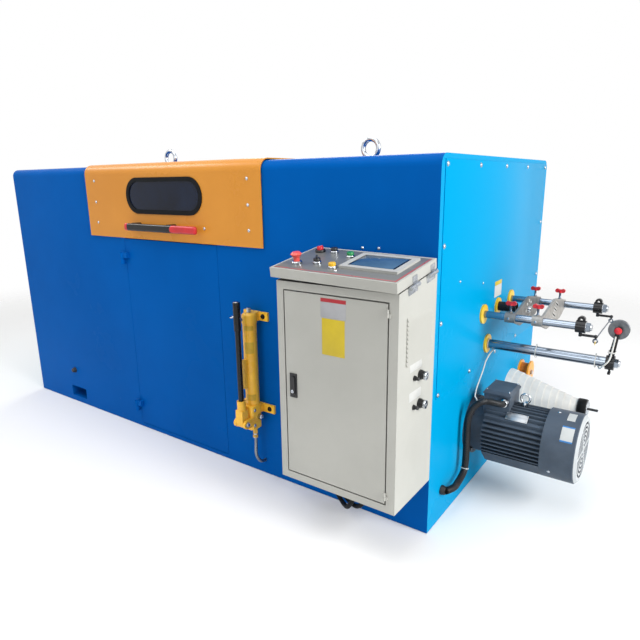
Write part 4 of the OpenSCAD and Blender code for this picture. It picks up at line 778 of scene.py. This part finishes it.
class BUNCHER_OT_desk(bpy.types.Operator):
    """Desk film with its red border, display glass and its field, button caps, knobs and stop collar"""

    bl_idname = "buncher.desk"
    bl_label = "Desk controls"

    def execute(self, context):
        film_w, film_d, film_x, film_y = 474, 262, 245, 126
        line, inset, line_t = 3.5, 6, 1.0
        piece("desk_plate", [(blank(film_w, film_d, 0.8), on_lid(film_x, film_y))], "polyester_film",
              "desk")
        border = [(blank(film_w - inset, line, line_t), on_lid(film_x, 1.5)),
                  (blank(line, film_d - inset, line_t), on_lid(12, film_y))]
        piece("desk_border", border, "red_plastic", "desk")
        display = 146.5, 144.5
        piece("display_glass", [(slab(176.6, 124.6, 1.2, 0.4), on_lid(*display, 7))], "edge_glass", "desk")
        # The field's teal is a painted reflection of the sky on the switched-off screen
        piece("display_field", [(slab(158, 118, 0.5, 0.2), on_lid(*display, 7.9))], "screen_glass", "desk")
        # Shares of the cabinet's width from the hinge side and of its depth from the front
        shares = {"start_cap": (0.592, 0.66), "reset_cap": (0.57, 0.185), "push_cap": (0.778, 0.78),
                  "selector": (0.741, 0.29), "rotary": (0.905, 0.77), "stop": (0.885, 0.2)}
        spots = {name: (across * CAB_W, along * CAB_D) for name, (across, along) in shares.items()}
        cap = lathe([(0, 9), (12.4, 9), (12.6, 18), (11.6, 20.2), (9, 21), (0, 20.6)], 32)
        for name, finish in (("start_cap", "green_plastic"), ("reset_cap", "amber_plastic"),
                             ("push_cap", "black_plastic")):
            piece(name, [(cap, on_lid(*spots[name]))], finish, "desk")
        selector_turn, rotary_turn = 0.6, -0.5
        grip = on_lid(*spots["selector"], 19.5) @ Matrix.Rotation(selector_turn, 4, "Z")
        parts = [(cap, on_lid(*spots["selector"])), (slab(7, 25, 9, 1.6), grip)]
        piece("selector_knob", parts, "black_plastic", "desk")
        skirt = lathe([(0, 1), (19, 1), (19.5, 6), (17, 10), (0, 10)], 32)
        piece("rotary_skirt", [(skirt, on_lid(*spots["rotary"]))], "black_plastic", "desk")
        top = lathe([(0, 9), (12, 9), (12.5, 17), (11, 19.5), (0, 20)], 32)
        bar = on_lid(*spots["rotary"], 19) @ Matrix.Rotation(rotary_turn, 4, "Z")
        parts = [(top, on_lid(*spots["rotary"])), (slab(5, 22, 4, 1.2), bar)]
        piece("rotary_knob", parts, "red_plastic", "desk")
        collar = lathe([(11.3, 0.8), (19, 0.8), (19, 8), (16.5, 11), (11.3, 11)], 32, closed=True)
        lamp = lathe([(0, 0.8), (6, 0.8), (6, 5), (4.5, 7), (0, 7)], 24)
        parts = [(collar, on_lid(*spots["stop"])), (lamp, on_lid(243, 24))]
        piece("stop_collar", parts, "plated_steel", "desk")
        return {"FINISHED"}


class BUNCHER_OT_cabinet(bpy.types.Operator):
    """Rings and caps of the side sockets, latch lock and blank plates"""

    bl_idname = "buncher.cabinet"
    bl_label = "Cabinet trim"

    def execute(self, context):
        socket_y, cap_y, heights = -782, -826, (577, 680)
        ring = lathe([(10.5, 20), (15.4, 20), (15.4, 25.5), (14, 27), (10.5, 27)], 32, closed=True)
        face = lathe([(0, 24), (9, 24), (9, 25), (4, 25), (3, 24.4), (0, 24.4)], 24)
        parts = [(m, at(END, socket_y, z, "+X")) for z in heights for m in (ring, face)]
        piece("socket_rings", parts, "plated_steel")
        cap = lathe([(0, 16), (6.2, 16), (6.2, 18), (4.5, 19.5), (0, 19.5)], 24)
        piece("socket_caps", [(cap, at(END, cap_y, z, "+X")) for z in heights], "black_plastic")
        plate_t, plate_y, rise = 0.7, -816, 42
        plate = blank(32, 88, plate_t)
        parts = [(plate, at(END, plate_y, z + rise, "+X")) for z in heights]
        piece("side_plates", parts, "white_vinyl", "machine")
        latch_x, latch_z, latch_t = 968, 585, 9
        lock = lathe([(0, 0), (6.5, 0), (6.5, 2), (5.5, 3), (2.6, 3), (2, 1.6), (0, 1.6)], 24)
        piece("latch_lock", [(lock, at(latch_x, CABINET - latch_t, latch_z, "-Y"))], "plated_steel",
              "cabinet_door_leaf")
        door_x = 1139.5
        for name, w, h, z, finish in (("door_plate_upper", 100, 53, 901.5, "grey_vinyl"),
                                      ("door_plate_band", 100, 13, 934.5, "red_vinyl"),
                                      ("door_plate_lower", 91, 127, 809, "yellow_vinyl")):
            piece(name, [(blank(w, h, plate_t), at(door_x, CABINET, z, "-Y"))], finish, "cabinet_door_leaf")
        return {"FINISHED"}


class BUNCHER_OT_pump(bpy.types.Operator):
    """Foot bolts, pivot bolts, hose fitting, breather hole, blank plates, lever pin and lever cap"""

    bl_idname = "buncher.pump"
    bl_label = "Pump trim"

    def execute(self, context):
        # Height and half the bolt spacing of the upper and the lower foot
        feet, foot_t = ((754, 42), (332, 62)), 10
        bolt = hex_head(9, 7)
        spots = [(x, z) for z, reach in feet for x in (PUMP_X - reach, PUMP_X + reach)]
        piece("foot_bolts", [(bolt, at(x, FRONT - foot_t, z, "-Y")) for x, z in spots], "black_paint")
        cheek, valve = 33, 47
        ends = [(bolt, at(PUMP_X + cheek, LEVER_Y, PIVOT_Z, "+X")),
                (bolt, at(PUMP_X - cheek, LEVER_Y, PIVOT_Z, "-X")),
                (pan_head(6), at(PUMP_X + cheek, -748, 272, "+X")),
                (pan_head(6), at(PUMP_X + cheek, -745, 342, "+X")),
                (pan_head(10), at(PUMP_X + valve, PUMP_Y, 306, "+X"))]
        piece("pump_bolts", ends, "plated_steel")
        cap_r, cap_z, turn = 33, 748, -115
        # A flat disc stands for the breather hole; its black is the hole's painted shade
        hole = lathe([(0, -0.4), (6.5, -0.4), (6.5, 0.6), (4.5, 1), (4, 0.4), (0, 0.4)], 24)
        round_cap = at(PUMP_X, PUMP_Y, cap_z) @ Matrix.Rotation(math.radians(turn), 4, "Z")
        piece("breather_hole", [(hole, round_cap @ at(cap_r, 0, 0, "+X"))], "hole_shade_black", "machine")
        hose_x, fitting_z = PUMP_X + 8, 197
        fitting = [lathe([(9.5, 3), (13, 3), (13, 16), (9.5, 16)], 6, closed=True),
                   lathe([(9.5, 22), (12, 22), (12, 44), (10.8, 50), (9.5, 50)], 6, closed=True)]
        piece("hose_fitting", [(fitting, at(hose_x, PUMP_Y, fitting_z))], "brass", "machine")
        barrel_r, plate_t, start, end = 30.4, 0.6, -98, -18
        plates = [wrapped(barrel_r, plate_t, start, end, low, high)
                  for low, high in ((702, 722), (600, 650), (384, 412))]
        piece("pump_plates", [(plates, at(PUMP_X, PUMP_Y, 0))], "gold_vinyl", "machine")
        pin_z, ring_x, top_z = 766, PUMP_X - 27, 833
        pin = lathe([(0, -19), (2.6, -19), (2.6, 19), (0, 19)], 16)
        cap = lathe([(0, 0), (14.2, 0), (14.2, 2), (12, 3.5), (0, 3.5)], 28)
        parts = [(pin, at(PUMP_X, LEVER_Y, pin_z, "+X")), (hoop(10, 2.2), at(ring_x, LEVER_Y, pin_z)),
                 (cap, at(PUMP_X, LEVER_Y, top_z))]
        piece("lever_trim", parts, "plated_steel", "lever")
        return {"FINISHED"}


def bar_fasteners(pitch):
    """Threads on the bars' ends, washers behind the clamps and set screws in the collars."""
    root, crest = 11.9, 12.9
    turns = [(11.5, 0)]
    for k in range(2):
        turns += [(root, k * pitch), (crest, (k + 0.35) * pitch), (crest, (k + 0.65) * pitch)]
    thread = lathe(turns + [(root, 2 * pitch), (10.5, 2 * pitch + 1), (0, 2 * pitch + 1)], 32)
    washer = lathe([(12.3, 0), (21, 0), (21, 1.6), (20.2, 2), (12.3, 2)], 32, closed=True)
    set_screw = lathe([(0, 0), (5, 0), (5, 4), (3, 4.6), (2.4, 2.6), (0, 2.6)], 20)
    low_end, washer_x, bar_end, collar_r = END + 513, END + 398, END + 413, 21.8
    parts = [(thread, at(low_end, LOW_BAR_Y, LOW_BAR_Z, "+X"))]
    for y in (-BAR_Y, BAR_Y):
        parts += [(thread, at(bar_end, y, BAR_Z, "+X")), (washer, at(washer_x, y, BAR_Z, "+X"))]
        parts += [(set_screw, at(END + x, y - collar_r, BAR_Z, "-Y")) for x in COLLARS]
    return parts


def guide_ties(band):
    """Ties round the lower bar and the wheel's arm, and the tail on the thin rod's curl."""
    tie_y, tie_z, ties = -112.4, 619.4, (END + 211, END + 434)
    parts = [(hoop(21.4, band, 48, 8), at(END + 14, LOW_BAR_Y, LOW_BAR_Z, "+X"))]
    parts += [(hoop(24.9, band, 48, 8), at(x, tie_y, tie_z, "+X")) for x in ties]
    parts += [(tie_lock(), at(x, tie_y, 645, "+Z")) for x in ties]
    tail = lathe([(0, 0), (2.2, 0), (2.4, 9), (1.6, 12), (0, 12)], 16)
    parts.append((tail, at(END + 434, -BAR_Y, 716, "-Z")))
    front, side = slab(27, 5, 1.5, 0.4), slab(5, 30, 1.5, 0.4)
    arm, reach = at(END + 489, -128.4, 669), 12.2
    parts += [(front, arm @ at(0, -14, 0, "-Y")), (front, arm @ at(0, 13.5, 0, "+Y"))]
    parts += [(side, arm @ at(reach, 0, 0, "+X")), (side, arm @ at(-reach, 0, 0, "-X"))]
    return parts


class BUNCHER_OT_guide(bpy.types.Operator):
    """Threads, washers, nozzle, eyelets, strips, sleeves, set screws, ties and tag of the wire guide"""

    bl_idname = "buncher.guide"
    bl_label = "Wire guide trim"

    def execute(self, context):
        sizes = context.scene.buncher_sizes
        piece("guide_fasteners", bar_fasteners(sizes.thread / MM), "plated_steel")
        hole_face, hole_ring, holes = END + 137.5, 38, 8
        nozzle = lathe([(7, -2), (11.9, -2), (15, 0), (14, 4), (10, 9), (7, 9)], 32, closed=True)
        piece("wire_nozzle", [(nozzle, at(hole_face, 0, BAR_Z, "+X"))], "plated_steel")
        eyelet = lathe([(3.2, -1.2), (4.9, -1.2), (6.6, 0), (6.2, 1.4), (4.6, 1.8), (3.2, 1.2)], 20,
                       closed=True)
        parts = []
        for k in range(holes):
            a = 2 * math.pi * k / holes
            spot = at(hole_face, hole_ring * math.cos(a), BAR_Z + hole_ring * math.sin(a), "+X")
            parts.append((eyelet, spot))
        piece("wire_eyelets", parts, "white_ceramic", "machine")
        slot_face, slot_lean, step_y, step_z, beside = END + 243.5, -24, 9.5, 10, 5.2
        strip = slab(3, 62, 1.4, 0.5)
        lean = Matrix.Rotation(math.radians(slot_lean), 4, "Z")
        parts = []
        for k in (-3, -1, 1, 3):
            middle = at(slot_face, k * step_y, BAR_Z + k * step_z, "+X") @ lean
            parts += [(strip, middle @ at(s * beside, 0, 0)) for s in (-1, 1)]
        piece("slot_strips", parts, "white_ceramic", "machine")
        sleeve = lathe([(4.1, 0), (5.2, 0), (5.2, 2), (4.6, 3), (4.6, 24), (4.1, 24)], 24, closed=True)
        parts = [(sleeve, at(END + x, y, KNOB_Z)) for x in COLLARS for y in (-BAR_Y, BAR_Y)]
        piece("knob_sleeves", parts, "ground_steel")
        piece("cable_ties", guide_ties(sizes.tie / MM), "white_plastic")
        tag_x, tag_y, tag_z = END + 434.5, -BAR_Y - 6, 711
        piece("wire_tag", [(slab(13, 9, 1.6, 0.5), at(tag_x, tag_y, tag_z, "+X"))], "yellow_nylon",
              "machine")
        return {"FINISHED"}


class BUNCHER_OT_spool_and_wheel(bpy.types.Operator):
    """Winding and bolt of the spool, the wheel's hub, its arm's cap, ring and grip of the cone's nut"""

    bl_idname = "buncher.spool_and_wheel"
    bl_label = "Spool, wheel and cone"

    def execute(self, context):
        spool_y, spool_z = solid_at("wire_spool", Y, MIDDLE), solid_at("wire_spool", Z, MIDDLE)
        core, valley, crest, turns, pitch = 40.2, 44.2, 45.6, 13, 3
        rows = [(core, 8.4)]
        for k in range(turns):
            rows += [(valley, 8.6 + pitch * k), (crest, 9.4 + pitch * k), (crest, 10.4 + pitch * k)]
        rows += [(valley, 47.4), (core, 47.6)]
        piece("spool_winding", [(lathe(rows, 48, closed=True), at(END, spool_y, spool_z, "+X"))],
              "wound_wire", "machine")
        bolt = at(solid_at("wire_spool", X, HIGH), spool_y, spool_z, "+X")
        piece("spool_bolt", [(hex_head(13, 9), bolt)], "plated_steel")
        wheel_back, arm_front = solid_at("guide_wheel", Y, HIGH), LOW_BAR_Y - 10
        hub = lathe([(21, 0), (25, 0), (25, 1.5), (24, 3), (21, 3)], 40, closed=True)
        piece("wheel_hub", [(hub, at(WHEEL_X, wheel_back, WHEEL_Z, "+Y"))], "red_plastic", "wheel")
        cap = lathe([(0, 0), (13, 0), (13, 2), (9, 5), (0, 6)], 28)
        piece("arm_cap", [(cap, at(WHEEL_X, arm_front, WHEEL_Z, "-Y"))], "red_plastic")
        cone_y, cone_z = solid_at("ribbed_cone", Y, MIDDLE), solid_at("ribbed_cone", Z, MIDDLE)
        nut_x, nut_l = solid_at("cone_nut", X, LOW), 42
        ring = lathe([(6.4, 0), (40, 0), (40, 1.5), (36, 4), (12, 4), (6.4, 6)], 40, closed=True)
        piece("nut_ring", [(ring, at(nut_x + nut_l, cone_y, cone_z, "+X"))], "plated_steel")
        grip = lathe([(43.1, 4), (44.4, 6), (44.4, 36), (43.1, 38)], 60, closed=True)
        piece("nut_grip", [(grip, at(nut_x, cone_y, cone_z, "+X"))], "black_rubber")
        return {"FINISHED"}


class BUNCHER_OT_motor(bpy.types.Operator):
    """Flange bolts, cover and lid screws of the motor, and its blank plates"""

    bl_idname = "buncher.motor"
    bl_label = "Motor trim"

    def execute(self, context):
        around = at(END, MOTOR_Y, MOTOR_Z, "+X")
        bolt_ring, flange_t = 115.4, 20
        bolts = []
        for k in range(4):
            turn = Matrix.Rotation(math.radians(45 + 90 * k), 4, "Z")
            bolts.append((hex_head(9, 9), around @ turn @ at(bolt_ring, 0, flange_t)))
        piece("flange_bolts", bolts, "black_paint")
        cover_x, box_x, box_top = 346, END + 115, 480
        parts = [(pan_head(5), round_motor(cover_x, rise, COVER_R)) for rise in (84, -30, 207)]
        parts += [(pan_head(4), at(box_x + x, MOTOR_Y + y, box_top)) for x in (-46, 46) for y in (-60, 60)]
        piece("motor_screws", parts, "plated_steel")
        plate_w, plate_h, plate_t = 86, 36, 1.2
        plate_x, plate_rise, fin_r = 202, 53, 129.6
        rivet_x, rivet_y = 39, 14
        lay = round_motor(plate_x, plate_rise, fin_r)
        rivet = lathe([(0, 0), (2.4, 0), (2, 1.2), (0, 1.6)], 16)
        parts = [(slab(plate_w, plate_h, plate_t, 0.4), lay)]
        parts += [(rivet, lay @ at(a * rivet_x, b * rivet_y, plate_t)) for a in (-1, 1) for b in (-1, 1)]
        piece("motor_plate", parts, "brushed_aluminium", "machine")
        r, thick, low, high = COVER_R - 0.1, 0.6, 374, 418
        start, end, band = 216.5, 238.5, 2.4
        plates = [wrapped(r, thick, start, end, low, high), wrapped(r, thick, 181, 202, 381, 410)]
        piece("cover_plates", [(plates, around)], "white_vinyl", "machine")
        bands = [wrapped(r, thick, a, a + band, low, high) for a in (start - band, end)]
        piece("cover_plate_bands", [(bands, around)], "blue_vinyl", "machine")
        return {"FINISHED"}


class BUNCHER_PT_panel(bpy.types.Panel):
    """Lists the steps, the sizes and the colours"""

    bl_idname = "BUNCHER_PT_panel"
    bl_label = "Bunching machine"
    bl_space_type = "VIEW_3D"
    bl_region_type = "UI"
    bl_category = "Buncher"

    def draw(self, context):
        for step in STEPS:
            self.layout.operator(step.bl_idname)
        for group in (context.scene.buncher_sizes, context.scene.buncher_colours):
            for key in group.__annotations__:
                self.layout.prop(group, key)


STEPS = (
    BUNCHER_OT_stage, BUNCHER_OT_finishes, BUNCHER_OT_cords, BUNCHER_OT_conduit, BUNCHER_OT_panel_screws,
    BUNCHER_OT_door_edging, BUNCHER_OT_hood_screws, BUNCHER_OT_desk, BUNCHER_OT_cabinet, BUNCHER_OT_pump,
    BUNCHER_OT_guide, BUNCHER_OT_spool_and_wheel, BUNCHER_OT_motor,
)
CLASSES = (BuncherColours, BuncherSizes, *STEPS, BUNCHER_PT_panel)


def register():
    for one in CLASSES:
        bpy.utils.register_class(one)
    bpy.types.Scene.buncher_colours = PointerProperty(type=BuncherColours)
    bpy.types.Scene.buncher_sizes = PointerProperty(type=BuncherSizes)


def unregister():
    del bpy.types.Scene.buncher_sizes
    del bpy.types.Scene.buncher_colours
    for one in reversed(CLASSES):
        bpy.utils.unregister_class(one)


def main():
    """Registers the add-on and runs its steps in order."""
    register()
    for step in STEPS:
        group, name = step.bl_idname.split(".")
        getattr(getattr(bpy.ops, group), name)()


if __name__ == "__main__":
    main()
